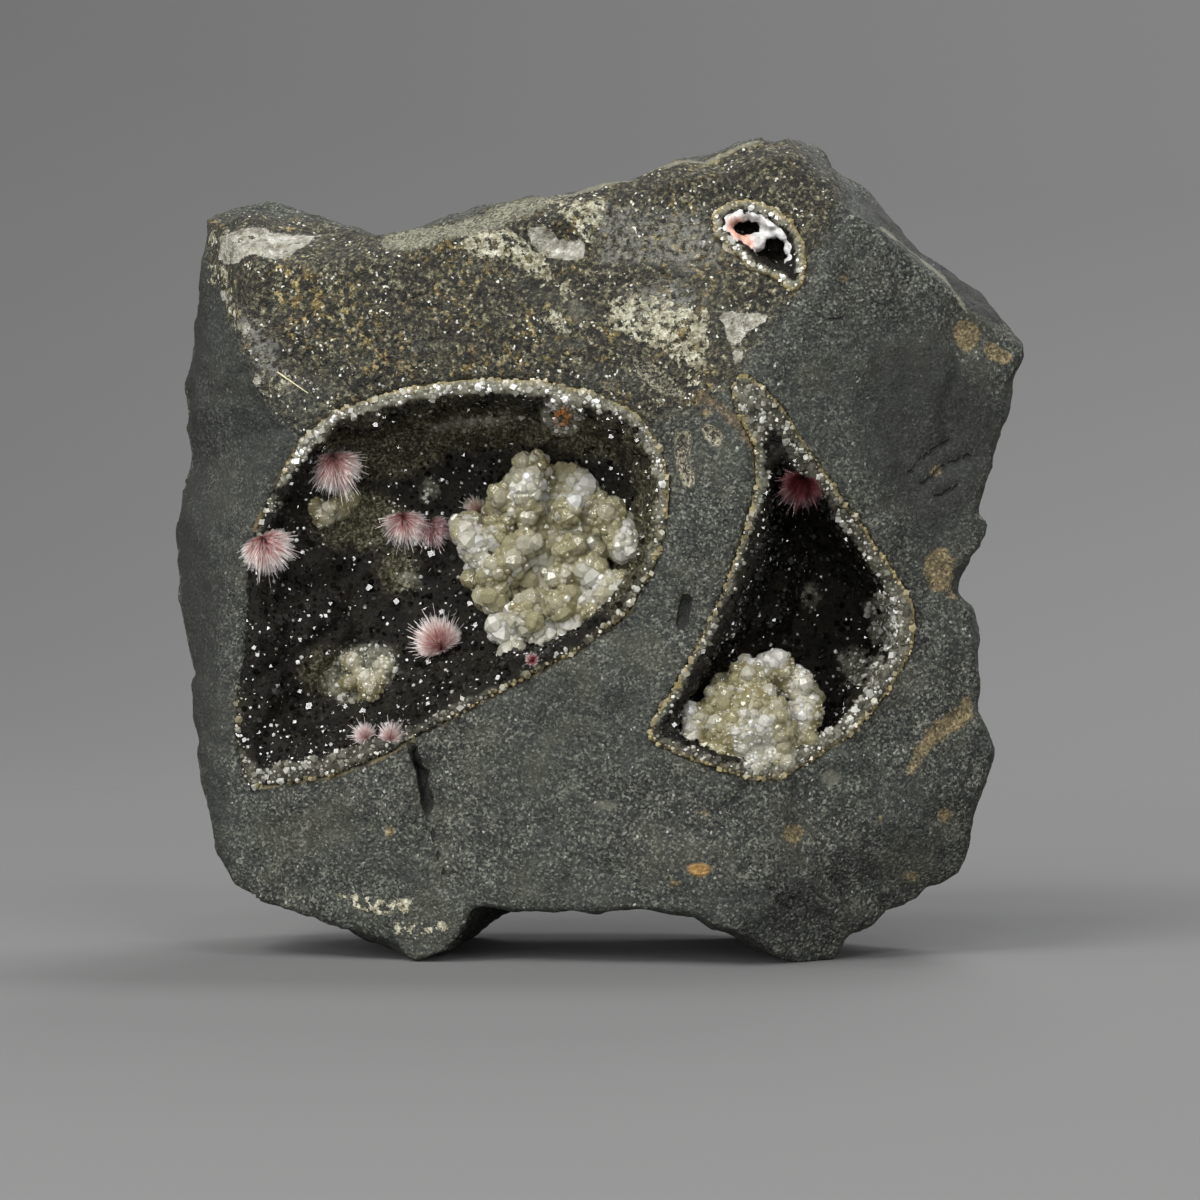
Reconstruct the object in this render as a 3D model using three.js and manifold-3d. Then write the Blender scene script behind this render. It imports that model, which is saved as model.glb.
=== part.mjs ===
// A natrolite and analcime specimen: a broken block of basalt with three gas pockets. Each pocket is lined
// with a druse of small crystals, and in the two large ones grow analcime clusters and round sprays of
// natrolite needles. Millimetres, +Z up. The front, where the pockets open, faces -Y, and the block stands
// upright on two flat feet.

import * as THREE from "three";
import { ConvexGeometry } from "three/addons/geometries/ConvexGeometry.js";
import { ImprovedNoise } from "three/addons/math/ImprovedNoise.js";
import { mergeVertices } from "three/addons/utils/BufferGeometryUtils.js";
import Module from "manifold-3d";

// Driving dimensions. Points of the front are [x, z] as seen square on by an eye at EYE_HEIGHT, EYE_DISTANCE
// in front of the foremost edge. What lies deeper is moved outwards along its line of sight.
const EYE_DISTANCE = 417;
const EYE_HEIGHT = 46.25;
const THICKNESS = 52; // of the block, front to back
const FOOT_HEIGHT = 4; // below this the outline belongs to a foot
const UNDERSIDE_HEIGHT = 12; // and below this to the underside
const GAP = 0.3; // between pieces that touch
const CRUST = 1.5; // thickness of the druse in the two large pockets
const THIN_CRUST = 0.9; // and in the small one
const CRYSTAL_HEIGHT = 1.5; // of the druse's crystals above that crust in the two large pockets
const SMALL_CRYSTAL_HEIGHT = 0.7; // and in the small one
const SEAT = CRUST + 2 * GAP; // height above the wall of a pocket at which a cluster or a spray begins
const FRONT_DEPTH = 8; // of the middle of the front behind its foremost edge
const FACET = 15; // spacing of the corners of a broken face of the rock
const STRAY = 1.1; // how far those corners stray from flat

// The front has two upright halves that meet in a blunt ridge, and a weathered slope above them that leans
// back.
const RIDGE_X = 17.5;
const SLOPE_Z = 68;
const FRONT_FACES = [
  { point: [RIDGE_X, 0, 0], facing: [-0.2, -1, 0] },
  { point: [RIDGE_X, 0, 0], facing: [0.34, -1, 0] },
  { point: [RIDGE_X, 0, SLOPE_Z], facing: [-0.08, -1, 0.26] },
];

// Outline of the block from the front, clockwise from the top left corner.
const OUTLINE = [
  [-50.6, 92.8], [-48.1, 93.9], [-37.5, 94.6], [-31.9, 93.5], [-27.8, 91.1], [-20, 93.5],
  [-12.5, 95.9], [-8.1, 97.4], [-6.5, 96.8], [-3.8, 97], [10, 101.3], [20, 104.3],
  [25, 104.8], [28.4, 104.1], [30.6, 100.9], [34, 98], [36, 94.1], [38.1, 91.5],
  [43.1, 88.5], [48.1, 84.1], [50.4, 81], [53.5, 79], [53, 77.3], [51.1, 73.1],
  [51.1, 70], [49.8, 66.8], [49, 63.1], [46.9, 56.9], [48.5, 55.8], [48.1, 54.5],
  [46, 51.3], [44.4, 49.6], [44.3, 46.8], [46.6, 45.3], [47.1, 43.1], [46.8, 39.4],
  [47.4, 35], [47.3, 32], [49.1, 27.1], [47.3, 22.5], [46.5, 17.5], [45.6, 11.9],
  [43.1, 10.1], [41, 9.6], [40.5, 8.3], [38.1, 7.1], [35, 6.3], [31.3, 4.4],
  [29.8, 1.9], [28.5, -0.3], [26.5, -0.3], [21.9, 1.8], [16.9, 4.4], [14, 5.6],
  [11.9, 6.8], [5, 7.3], [-6, 7.4], [-16.3, 7.4], [-17.2, 5], [-19.1, 2.4],
  [-23.1, 1], [-25.3, 2.4], [-27.5, 3.8], [-32.5, 5], [-39.4, 6.9], [-46.8, 10],
  [-48.3, 15], [-49.4, 22.5], [-51.1, 31.9], [-51.6, 38.8], [-53.1, 45.6], [-53.9, 56.3],
  [-53.1, 63.1], [-52.4, 71.3], [-52.6, 75.6], [-51.6, 82.5], [-50.6, 87.5],
];

// The outline goes straight back as far as it shows. Behind that the block draws in, its outline gets
// rounder, and its feet first widen and then lift from the surface that they stand on. Between the feet the
// underside stays level, so that the block stands clear of the surface all the way through.
const LEVELS = [
  { y: -3, draw: 0, lift: 0, loose: 0, round: 0 },
  { y: 13, draw: 0, lift: 0, loose: 0, round: 0 },
  { y: 25, draw: 0, lift: -0.6, loose: 1, round: 0.3 },
  { y: 35, draw: 0.05, lift: -1, loose: 2.8, round: 0.7 },
  { y: 44, draw: 0.13, lift: -0.6, loose: 2.8, round: 0.9 },
  { y: THICKNESS, draw: 0.27, lift: 7, loose: 2.8, round: 1 },
];

const wasm = await Module();
wasm.setup();

// Numbers from 0 to 1 in an order that is the same on every run.
function seeded(seed) {
  let state = seed;
  return () => {
    state = (state * 1664525 + 1013904223) % 4294967296;
    return state / 4294967296;
  };
}

const mix = (a, b, t) => a + (b - a) * t;
const GOLDEN_ANGLE = 2.39996; // radians between neighbours that fill a round patch evenly

// A closed three.js geometry as a solid that can be joined and cut.
function solidOf(geometry) {
  const bare = new THREE.BufferGeometry();
  bare.setAttribute("position", geometry.getAttribute("position").clone());
  if (geometry.index) bare.setIndex(geometry.index.clone());
  const merged = mergeVertices(bare, 1e-4);
  return new wasm.Manifold(
    new wasm.Mesh({
      numProp: 3,
      vertProperties: new Float32Array(merged.attributes.position.array),
      triVerts: new Uint32Array(merged.index.array),
    }),
  );
}

// A solid as a three.js geometry with flat faces. What a cut has left beside the largest body is dropped.
function geometryOf(solid) {
  const body = solid.decompose().reduce((a, b) => (a.volume() > b.volume() ? a : b));
  const mesh = body.getMesh();
  const geometry = new THREE.BufferGeometry();
  geometry.setAttribute("position", new THREE.BufferAttribute(new Float32Array(mesh.vertProperties), 3));
  geometry.setIndex(new THREE.BufferAttribute(new Uint32Array(mesh.triVerts), 1));
  return geometry.toNonIndexed();
}

const join = (solids) => solids.reduce((whole, solid) => whole.add(solid));

// A point of the front view, moved along its line of sight to the depth y.
function sighted(x, z, y) {
  const farther = 1 + y / EYE_DISTANCE;
  return new THREE.Vector3(x * farther, y, EYE_HEIGHT + (z - EYE_HEIGHT) * farther);
}

// The reverse: where a point shows from the front.
function shown({ x, y, z }) {
  const farther = 1 + y / EYE_DISTANCE;
  return [x / farther, EYE_HEIGHT + (z - EYE_HEIGHT) / farther];
}

// The point of the front that shows at [x, z], moved on along the line of sight by `deeper`.
function onFront(x, z, deeper = 0) {
  const depths = FRONT_FACES.map(({ point, facing }) => {
    const offset = facing[0] * (x - point[0]) + facing[2] * (z - point[2]);
    return offset / (1 - (facing[0] * x + facing[2] * (z - EYE_HEIGHT)) / EYE_DISTANCE);
  });
  return sighted(x, z, Math.max(...depths) + deeper);
}

// Closed rings of equally many points, skinned in order, with a fan over each end around its middle, or around
// the two `tips`. Where `peakOver` gives a point for the four corners of a facet, the facet becomes a pyramid.
function skin(rings, { peakOver = () => null, tips = [] } = {}) {
  const count = rings[0].length;
  const points = rings.flat();
  const faces = [];
  for (let ring = 0; ring + 1 < rings.length; ring++) {
    for (let i = 0; i < count; i++) {
      const a = ring * count + i;
      const b = ring * count + ((i + 1) % count);
      const [c, d] = [b + count, a + count];
      const peak = peakOver([points[a], points[b], points[c], points[d]], ring);
      if (peak) {
        const top = points.push(peak) - 1;
        faces.push(a, b, top, b, c, top, c, d, top, d, a, top);
      } else {
        faces.push(a, b, d, b, c, d);
      }
    }
  }
  for (const ring of [0, rings.length - 1]) {
    const mean = new THREE.Vector3();
    rings[ring].forEach((point) => mean.addScaledVector(point, 1 / count));
    points.push(tips[Math.sign(ring)] ?? mean);
    for (let i = 0; i < count; i++) {
      const a = ring * count + i;
      const b = ring * count + ((i + 1) % count);
      if (ring === 0) faces.push(b, a, points.length - 1);
      else faces.push(a, b, points.length - 1);
    }
  }
  const geometry = new THREE.BufferGeometry().setFromPoints(points);
  geometry.setIndex(faces);
  return geometry;
}

// The block of basalt

const noise = new ImprovedNoise();

// Everything beyond a face through a point, on the side that `facing` points to. The face is a broken one,
// with corners that stray from flat, unless `stray` says otherwise.
function beyond({ point, facing, stray = STRAY }) {
  const cells = 18;
  const size = cells * FACET;
  const block = new THREE.BoxGeometry(size, size, size, cells, cells, 1).translate(0, 0, size / 2);
  const up = new THREE.Vector3(0, 0, 1);
  const outwards = new THREE.Vector3(...facing).normalize();
  const turn = new THREE.Quaternion().setFromUnitVectors(up, outwards);
  const corners = block.getAttribute("position");
  const corner = new THREE.Vector3();
  for (let i = 0; i < corners.count; i++) {
    corner.fromBufferAttribute(corners, i);
    const onFace = corner.z < FACET;
    corner.applyQuaternion(turn).add(new THREE.Vector3(...point));
    const { x, y, z } = corner;
    const broad = noise.noise(x / 23 + 3.1, y / 23, z / 23);
    if (onFace) corner.addScaledVector(outwards, stray * (broad + noise.noise(z / 9, x / 9 + 7.7, y / 9)));
    corners.setXYZ(i, corner.x, corner.y, corner.z);
  }
  return solidOf(block);
}

// Knocks off what lies beyond all of the planes at once: one plane leaves a face, two leave a notch.
const strike = (rock, ...planes) => rock.subtract(planes.map(beyond).reduce((a, b) => a.intersect(b)));

function roughBlock() {
  const chance = seeded(7);
  const rings = LEVELS.map(({ y, draw, lift, loose, round }) =>
    OUTLINE.map((corner, i) => {
      const near = [-3, -2, -1, 1, 2, 3].map((step) => OUTLINE.at((i + step) % OUTLINE.length));
      const [x, z] = corner.map((value, axis) => {
        const mean = near.reduce((sum, other) => sum + other[axis], 0) / near.length;
        return axis === 1 && value < UNDERSIDE_HEIGHT ? value : mix(value, mean, 0.8 * round);
      });
      const level = z > FOOT_HEIGHT && z < UNDERSIDE_HEIGHT ? FRONT_DEPTH : LEVELS[2].y;
      const point = sighted(x, z, Math.min(y, level));
      point.x *= 1 - draw;
      point.x -= Math.sign(point.x) * loose * chance();
      if (z < UNDERSIDE_HEIGHT) point.z += lift * Math.max(0, 1 - z / FOOT_HEIGHT / 2);
      else point.z = mix(point.z, UNDERSIDE_HEIGHT, draw) - loose * chance();
      return new THREE.Vector3(point.x, y, point.z);
    }),
  );
  return solidOf(skin(rings));
}

function makeBlock() {
  let rock = FRONT_FACES.reduce((whole, face) => strike(whole, face), roughBlock());
  const at = (x, z) => onFront(x, z).toArray();
  // The left side turns away from the front in three faces, close around the rim of the left pocket.
  rock = strike(
    rock,
    { point: at(-38.2, 67.2), facing: [-0.9, -1, -0.38], stray: 0.6 },
    { point: at(-40.8, 64), facing: [-1.2, -1, 0.5], stray: 0.4 },
  );
  rock = strike(rock, { point: at(-46.3, 50), facing: [-1.4, -1, 0.1], stray: 0.4 });
  // Bevels along the top left edge and the upper right edge, and a face that turns away under the right
  // pocket.
  rock = strike(rock, { point: at(-14, 92.6), facing: [-0.25, -0.6, 1] });
  rock = strike(rock, { point: at(44, 84.6), facing: [0.75, -0.4, 0.85] });
  rock = strike(rock, { point: at(28.5, 13), facing: [0.62, -1, -0.5] });
  // The back is broken in a few large faces.
  rock = strike(rock, { point: [-36, 42, 60], facing: [-0.6, 1, 0.15] });
  rock = strike(rock, { point: [33, 41, 40], facing: [0.8, 1, -0.15] });
  rock = strike(rock, { point: [6, 43, 88], facing: [0.15, 1, 0.85] });
  rock = strike(rock, { point: [-52, 30, 92], facing: [-1, 0.5, 0.9] });
  rock = strike(rock, { point: [47, 33, 84], facing: [1, 0.6, 0.5] });
  rock = strike(rock, { point: [0, 47, 14], facing: [0, 1, -0.5] });
  return strike(rock, { point: [0, 0, 0], facing: [0, 0, -1], stray: 0 });
}

// Pockets

// Distance from a middle to a closed outline around it, in the direction [dx, dz].
function reachOf(outline, [mx, mz], dx, dz) {
  const length = Math.hypot(dx, dz) || 1;
  let reach = 0;
  outline.forEach(([ax, az], i) => {
    const [bx, bz] = outline[(i + 1) % outline.length];
    const [ex, ez] = [bx - ax, bz - az];
    const across = (ex * dz - ez * dx) / length;
    const along = (ex * (az - mz) - ez * (ax - mx)) / across;
    const share = (dx * (az - mz) - dz * (ax - mx)) / length / across;
    if (Math.abs(across) > 1e-9 && along > 0 && share > -1e-9 && share < 1 + 1e-9) reach = Math.max(reach, along);
  });
  return reach;
}

// Shares of the way from the deepest point of a pocket to its rim at which its wall has a row of facets.
const RINGS = [1, 0.955, 0.83, 0.55, 0.22];

// A gas pocket is a bowl behind its rim, with steep walls, except towards `ramp`, where the floor comes up.
// A narrow end is full of crystals: what stays open inside the druse has `inner` as its rim.
class Pocket {
  constructor({ rim, inner = rim, deepest, depth, ramp = [0, 0] }) {
    Object.assign(this, { rim, inner, deepest, depth, ramp });
  }

  // Depth behind the front at a share t of the way from the deepest point to the rim, in the direction [dx,
  // dz].
  bowl(t, dx, dz) {
    const slope = Math.max(0, (dx * this.ramp[0] + dz * this.ramp[1]) / Math.hypot(dx, dz, 1e-9));
    return this.depth * Math.pow(Math.max(0, 1 - Math.pow(t, mix(4, 1.7, slope))), mix(0.5, 0.9, slope));
  }

  // The point of the bare bowl that shows at [x, z].
  surface(x, z) {
    const [dx, dz] = [x - this.deepest[0], z - this.deepest[1]];
    const t = Math.hypot(dx, dz) / reachOf(this.rim, this.deepest, dx, dz);
    return onFront(x, z, this.bowl(t, dx, dz));
  }

  // The point `above` the bowl, measured square to it, that shows at [x, z].
  over(x, z, above) {
    let [u, v] = [x, z];
    let point;
    for (let round = 0; round < 6; round++) {
      const here = this.surface(u, v);
      const right = this.surface(u + 0.3, v).sub(here);
      const up = this.surface(u, v + 0.3).sub(here);
      point = here.addScaledVector(right.cross(up).normalize(), above);
      const [px, pz] = shown(point);
      [u, v] = [u + 0.7 * (x - px), v + 0.7 * (z - pz)];
    }
    return point;
  }

  // The points in front of and behind the hollow that its ends close around.
  tips(inset) {
    return [-9, this.depth].map((deeper) => onFront(...this.deepest, deeper - inset));
  }

  // Rings of points on the bowl, from well in front of the block to the deepest part, moved in by `inset`.
  rings(inset) {
    const rim = inset > GAP ? this.inner : this.rim;
    const rings = [-9, -1.5].map((deeper) => rim.map(([x, z]) => onFront(x, z, deeper)));
    for (const t of RINGS) {
      rings.push(
        rim.map(([x, z]) => {
          const [dx, dz] = [x - this.deepest[0], z - this.deepest[1]];
          return onFront(this.deepest[0] + t * dx, this.deepest[1] + t * dz, this.bowl(t, dx, dz));
        }),
      );
    }
    const geometry = skin(rings);
    geometry.computeVertexNormals();
    const normals = geometry.getAttribute("normal");
    return rings.map((ring, r) =>
      ring.map((point, i) => {
        const normal = new THREE.Vector3().fromBufferAttribute(normals, r * ring.length + i);
        return point.addScaledVector(normal, -inset);
      }),
    );
  }

  // The hollow as a solid, smaller by `inset` all round.
  hollow(inset) {
    return solidOf(skin(this.rings(inset), { tips: this.tips(inset) }));
  }

  // The same with a pyramid on each facet of its wall, so that what is left around it is a druse. The floor,
  // narrow facets and facets under a cluster or a spray stay flat.
  hollowInDruse(inset, height, seed) {
    const chance = seeded(seed);
    const peakOver = ([a, b, c, d], ring) => {
      const peak = new THREE.Vector3().add(a).add(b).add(c).add(d).multiplyScalar(0.25);
      const narrow = Math.min(a.distanceTo(b), c.distanceTo(d), a.distanceTo(d));
      const onWall = ring > 1 && ring < 5;
      if (!onWall || narrow < height || covered(this, shown(peak), 2)) return null;
      const inwards = c.clone().sub(a).cross(b.clone().sub(d)).normalize();
      peak.lerp([a, b, c, d][Math.floor(4 * chance())], 0.3);
      return peak.addScaledVector(inwards, Math.min(height, 0.6 * narrow) * mix(0.6, 1.2, chance()));
    };
    return solidOf(skin(this.rings(inset), { peakOver, tips: this.tips(inset) }));
  }
}

const leftPocket = new Pocket({
  deepest: [-14, 57],
  depth: 17,
  ramp: [-0.8, -0.6],
  rim: [
    [-37.5, 66.3], [-33.6, 69.8], [-26.6, 72.1], [-20, 73.4], [-14.4, 73.8], [-7.2, 73.6],
    [-0.4, 72.1], [4.8, 69.6], [7.6, 65.4], [8.6, 60.6], [8.3, 55.2], [6.6, 49.4],
    [3.2, 44.4], [-1.9, 40.3], [-7.6, 37.4], [-14, 34], [-20.4, 30.3], [-27.5, 26.3],
    [-33.6, 24.1], [-39.6, 23.1], [-44.4, 22.4], [-45.4, 27.5], [-45.4, 35], [-45, 43.4],
    [-44.5, 51.9], [-41.9, 58.4],
  ],
});

const rightPocket = new Pocket({
  deepest: [34, 44.4],
  depth: 21,
  rim: [
    [16.3, 72.8], [17.4, 74.4], [19.2, 73.9], [22.6, 70.4], [26, 65], [29.7, 59.7],
    [33.4, 54.4], [36.9, 49.4], [39.2, 45.4], [39.1, 40.4], [35.8, 34.6], [31.4, 29.6],
    [26.2, 26], [22.3, 23.9], [18.1, 24.1], [12, 26.2], [6.2, 28.7], [6.6, 31],
    [9.6, 35.8], [13, 41.8], [15.7, 48], [17.8, 54.2], [19.6, 60.4], [19.4, 65.4],
    [17.2, 69.8],
  ],
  inner: [
    [19.4, 63], [20.2, 64.6], [21.8, 65.3], [23.6, 65], [25.6, 63.7], [29.7, 59.7],
    [33.4, 54.4], [36.9, 49.4], [39.2, 45.4], [39.1, 40.4], [35.8, 34.6], [31.4, 29.6],
    [26.2, 26], [22.3, 23.9], [18.1, 24.1], [12.6, 25.9], [8.4, 27.9], [7.7, 32.6],
    [9.6, 35.8], [13, 41.8], [15.7, 48], [17.8, 54.2], [18.6, 57], [19.1, 59.2],
    [19.3, 61.2],
  ],
});

const smallPocket = new Pocket({
  deepest: [20.6, 90.6],
  depth: 8,
  rim: [
    [14, 94.3], [16, 95.8], [18.5, 96.1], [21.3, 95.4], [23.8, 93.5], [25.4, 90.9],
    [25.6, 88.1], [25.2, 85.6], [23.8, 84.9], [21.8, 86.6], [19, 87.7], [16.9, 89.6],
    [14.6, 91.8],
  ],
  inner: [
    [14, 94.3], [16, 95.8], [18.5, 96.1], [21.3, 95.4], [23.8, 93.5], [25.4, 90.9],
    [25.6, 88.9], [25, 87.4], [23.4, 86.7], [21.4, 86.8], [19, 87.7], [16.9, 89.6],
    [14.6, 91.8],
  ],
});

// A shallow scar where the wall of another bubble broke away.
const scar = new Pocket({
  deepest: [-5.4, 90.2],
  depth: 1.8,
  rim: [[-9, 92.6], [-5, 93.1], [-2.2, 91.6], [-2.4, 88.6], [-5.4, 88], [-8.6, 89.6]],
});

// The crack that runs down from the left pocket.
function crack() {
  const mouth = [[-24.6, 28.6], [-22.6, 28.2], [-20.2, 23.4], [-21.2, 17.6], [-22.2, 21.4]];
  const points = mouth.map(([x, z]) => onFront(x, z, -1.5));
  points.push(onFront(-22.9, 27, 4.5), onFront(-21.2, 22, 3.5));
  return solidOf(new ConvexGeometry(points));
}

// Crystals

// Analcime grows as trapezohedra: 24 kite-shaped faces, with 26 corners of three kinds.
function trapezohedron() {
  const corners = [];
  for (const a of [-1, 0, 1]) {
    for (const b of [-1, 0, 1]) {
      for (const c of [-1, 0, 1]) {
        const kind = Math.abs(a) + Math.abs(b) + Math.abs(c);
        if (kind > 0) corners.push(new THREE.Vector3(a, b, c).multiplyScalar([1, 2 / 3, 1 / 2][kind - 1]));
      }
    }
  }
  return new ConvexGeometry(corners);
}

// A spray is a ball of needles, here an icosahedron with a spike raised on every face.
function spikyBall(valley) {
  const ball = new THREE.IcosahedronGeometry(valley);
  const corners = ball.getAttribute("position");
  const points = [];
  for (let i = 0; i < corners.count; i += 3) {
    const [a, b, c] = [0, 1, 2].map((step) => new THREE.Vector3().fromBufferAttribute(corners, i + step));
    const tip = new THREE.Vector3().add(a).add(b).add(c).normalize();
    points.push(a, b, tip, b, c, tip, c, a, tip);
  }
  return new THREE.BufferGeometry().setFromPoints(points);
}

const TRAPEZOHEDRON = solidOf(trapezohedron());
const SPIKY_BALL = solidOf(spikyBall(0.62));

// A crystal of a given form, turned at random and set down at a point.
function crystal(form, radius, point, chance) {
  const turned = form.rotate([360 * chance(), 360 * chance(), 360 * chance()]);
  return turned.scale([radius, radius, radius]).translate(point.toArray());
}

// Clusters of analcime, by their outline from the front and how high they stand in the pocket.
const CLUSTERS = {
  analcime_cluster_left: {
    pocket: leftPocket,
    middle: [-6, 52.5],
    height: 9.5,
    crystals: 24,
    size: 2.3,
    seed: 11,
    outline: [
      [-18.6, 54.4], [-16, 59.4], [-12.6, 62.9], [-9, 64.6], [-3.5, 65.8], [2.3, 64.6],
      [6.3, 61], [7.6, 57], [7.2, 53], [5.6, 48.8], [2.2, 45.2], [-1.4, 42.2],
      [-6, 39.6], [-11.4, 39.8], [-15.2, 42.6], [-17.4, 48.4],
    ],
  },
  analcime_cluster_right: {
    pocket: rightPocket,
    middle: [19, 31],
    height: 13,
    crystals: 9,
    size: 2.1,
    seed: 23,
    outline: [
      [11.5, 34.4], [12.5, 36.8], [15.6, 37.3], [18.1, 38.5], [21.5, 39.4], [24.5, 38.8],
      [26.3, 35.6], [27.4, 33.4], [27, 30.5], [25.4, 28.2], [22, 26.2], [18.1, 26],
      [14, 27], [11, 28.6], [10.2, 31.3],
    ],
  },
  analcime_knob_upper: {
    pocket: leftPocket,
    middle: [-35, 57.6],
    height: 2.8,
    crystals: 3,
    size: 1.5,
    seed: 31,
    outline: [[-38.4, 57.6], [-36.8, 59], [-33.8, 59.2], [-31.4, 58.6], [-30.8, 57], [-33, 55.8], [-36.6, 55.8]],
  },
  analcime_knob_lower: {
    pocket: leftPocket,
    middle: [-30, 34.8],
    height: 2.8,
    crystals: 4,
    size: 1.6,
    seed: 37,
    outline: [[-34.8, 33.8], [-33.8, 36.8], [-29.8, 37.8], [-25.8, 36.4], [-25.6, 34], [-28, 32.8], [-32.4, 32.4]],
  },
};

// Sprays of natrolite, by the place of their root as it shows from the front, and their radius. Each sits on
// the wall of its pocket, or at a depth of its own where it grows from other crystals.
const SPRAYS = {
  natrolite_spray_top: { pocket: leftPocket, root: [-33.2, 62.6], radius: 3.7 },
  natrolite_spray_left: { pocket: leftPocket, root: [-42.4, 53.2], radius: 3.6 },
  natrolite_spray_twin_a: { pocket: leftPocket, root: [-24.8, 55.9], radius: 2.4 },
  natrolite_spray_twin_b: { pocket: leftPocket, root: [-20.3, 55.2], radius: 2.1 },
  natrolite_spray_middle: { pocket: leftPocket, root: [-21.1, 42.5], radius: 3.7 },
  natrolite_spray_brown: { pocket: leftPocket, root: [-18.9, 60.6], radius: 1.9 },
  natrolite_spray_low_a: { pocket: leftPocket, root: [-29.9, 30.4], radius: 1.5 },
  natrolite_spray_low_b: { pocket: leftPocket, root: [-26.2, 30.3], radius: 1.6 },
  natrolite_spray_right: { pocket: rightPocket, root: [24.9, 58.9], radius: 3, depth: 8 },
};

// A mound that fills its outline and is overgrown with trapezohedra.
function cluster({ pocket, middle, height, crystals, size, seed, outline }) {
  const chance = seeded(seed);
  const foot = pocket.surface(...middle).y - onFront(...middle).y - SEAT;
  const spot = (t, angle, margin, sunk) => {
    const [dx, dz] = [Math.cos(angle), Math.sin(angle)];
    const out = t * (reachOf(outline, middle, dx, dz) - margin);
    const rise = height * Math.sqrt(1 - 0.85 * t * t);
    return onFront(middle[0] + out * dx, middle[1] + out * dz, Math.max(0, foot - rise) + sunk);
  };
  const sides = [...Array(10).keys()].map((i) => (-i * Math.PI) / 5);
  const rings = [0.5, 1].map((t) => sides.map((angle) => spot(t, angle, 0.9 * size, 1.1 * size)));
  rings.push(sides.map((angle) => spot(1, angle, 0.9 * size, pocket.depth)));
  const solids = [solidOf(skin(rings))];
  for (let i = 0; i < crystals; i++) {
    const point = spot(((i + 0.5) / crystals) ** 0.45, i * GOLDEN_ANGLE + 0.4 * chance(), 0.6 * size, 0.7 * size);
    solids.push(crystal(TRAPEZOHEDRON, size * mix(0.7, 1.3, chance()), point, chance));
  }
  return join(solids);
}

function spray({ pocket, root, radius, depth }, grown = 0) {
  const chance = seeded(Math.round(100 * radius - root[0]));
  const point = depth ? onFront(...root, depth) : pocket.over(...root, SEAT);
  return crystal(SPIKY_BALL, radius + grown, point, chance);
}

// Whether a point that shows at [x, z] is under a cluster or a spray, or closer to one than `margin`.
function covered(pocket, [x, z], margin) {
  const underCluster = Object.values(CLUSTERS).some((one) => {
    const [dx, dz] = [x - one.middle[0], z - one.middle[1]];
    return one.pocket === pocket && Math.hypot(dx, dz) < reachOf(one.outline, one.middle, dx, dz) + margin;
  });
  const underSpray = Object.values(SPRAYS).some(
    (one) => one.pocket === pocket && Math.hypot(x - one.root[0], z - one.root[1]) < one.radius + margin,
  );
  return underCluster || underSpray;
}

// The druse that lines a pocket.
function druse(pocket, whole, thickness, height, seed) {
  return pocket.hollow(GAP).subtract(pocket.hollowInDruse(GAP + thickness, height, seed)).intersect(whole);
}

// The thick band of coarse crystals on the upper right wall of the right pocket.
function coarseBand() {
  const chance = seeded(53);
  const rows = [
    { depth: 2.6, places: [[19.6, 71.2], [22.6, 67.8], [25.2, 64.2], [28, 60.4]] },
    { depth: 6.8, places: [[26.8, 62.6], [29.6, 58.6]] },
  ];
  const solids = rows.flatMap(({ depth, places }) =>
    places.map(([x, z]) => crystal(TRAPEZOHEDRON, mix(2.1, 2.7, chance()), onFront(x, z, depth), chance)),
  );
  return join(solids).intersect(rightPocket.hollow(GAP + 0.4));
}

// The pieces, in their materials

const group = new THREE.Group();
const MATERIALS = {
  basalt: new THREE.MeshStandardMaterial({ color: 0x6d6b63, roughness: 0.93, metalness: 0 }),
  druse: new THREE.MeshStandardMaterial({ color: 0xc9cbc8, roughness: 0.35, metalness: 0 }),
  analcime: new THREE.MeshStandardMaterial({ color: 0xd9cfa9, roughness: 0.2, metalness: 0 }),
  natrolite: new THREE.MeshStandardMaterial({ color: 0xd8a79d, roughness: 0.5, metalness: 0 }),
};

function place(name, solid, material) {
  const mesh = new THREE.Mesh(geometryOf(solid), material);
  mesh.geometry.computeVertexNormals();
  mesh.name = name;
  group.add(mesh);
}

const whole = makeBlock();
const hollows = [leftPocket, rightPocket, smallPocket, scar].map((pocket) => pocket.hollow(0));
place("basalt_matrix", whole.subtract(join(hollows)).subtract(crack()), MATERIALS.basalt);

// What is kept free around the sprays.
const sprayRoom = join(
  Object.values(SPRAYS).map((one) => spray(one, GAP).intersect(one.pocket.hollow(GAP + CRUST))),
);

const leftDruse = druse(leftPocket, whole, CRUST, CRYSTAL_HEIGHT, 61);
place("left_pocket_druse", leftDruse.subtract(sprayRoom), MATERIALS.druse);
const rightDruse = druse(rightPocket, whole, CRUST, CRYSTAL_HEIGHT, 67).add(coarseBand());
place("right_pocket_druse", rightDruse.subtract(sprayRoom), MATERIALS.druse);
const smallDruse = druse(smallPocket, whole, THIN_CRUST, SMALL_CRYSTAL_HEIGHT, 71);
place("small_pocket_druse", smallDruse, MATERIALS.druse);

for (const [name, one] of Object.entries(CLUSTERS)) {
  place(name, cluster(one).intersect(one.pocket.hollow(SEAT)).subtract(sprayRoom), MATERIALS.analcime);
}
for (const [name, one] of Object.entries(SPRAYS)) {
  place(name, spray(one).intersect(one.pocket.hollow(SEAT)), MATERIALS.natrolite);
}

// The origin is the middle of the underside of the whole specimen.
const box = new THREE.Box3().setFromObject(group);
const middle = box.getCenter(new THREE.Vector3());
for (const mesh of group.children) mesh.geometry.translate(-middle.x, -middle.y, -box.min.z);

export default group;
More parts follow.
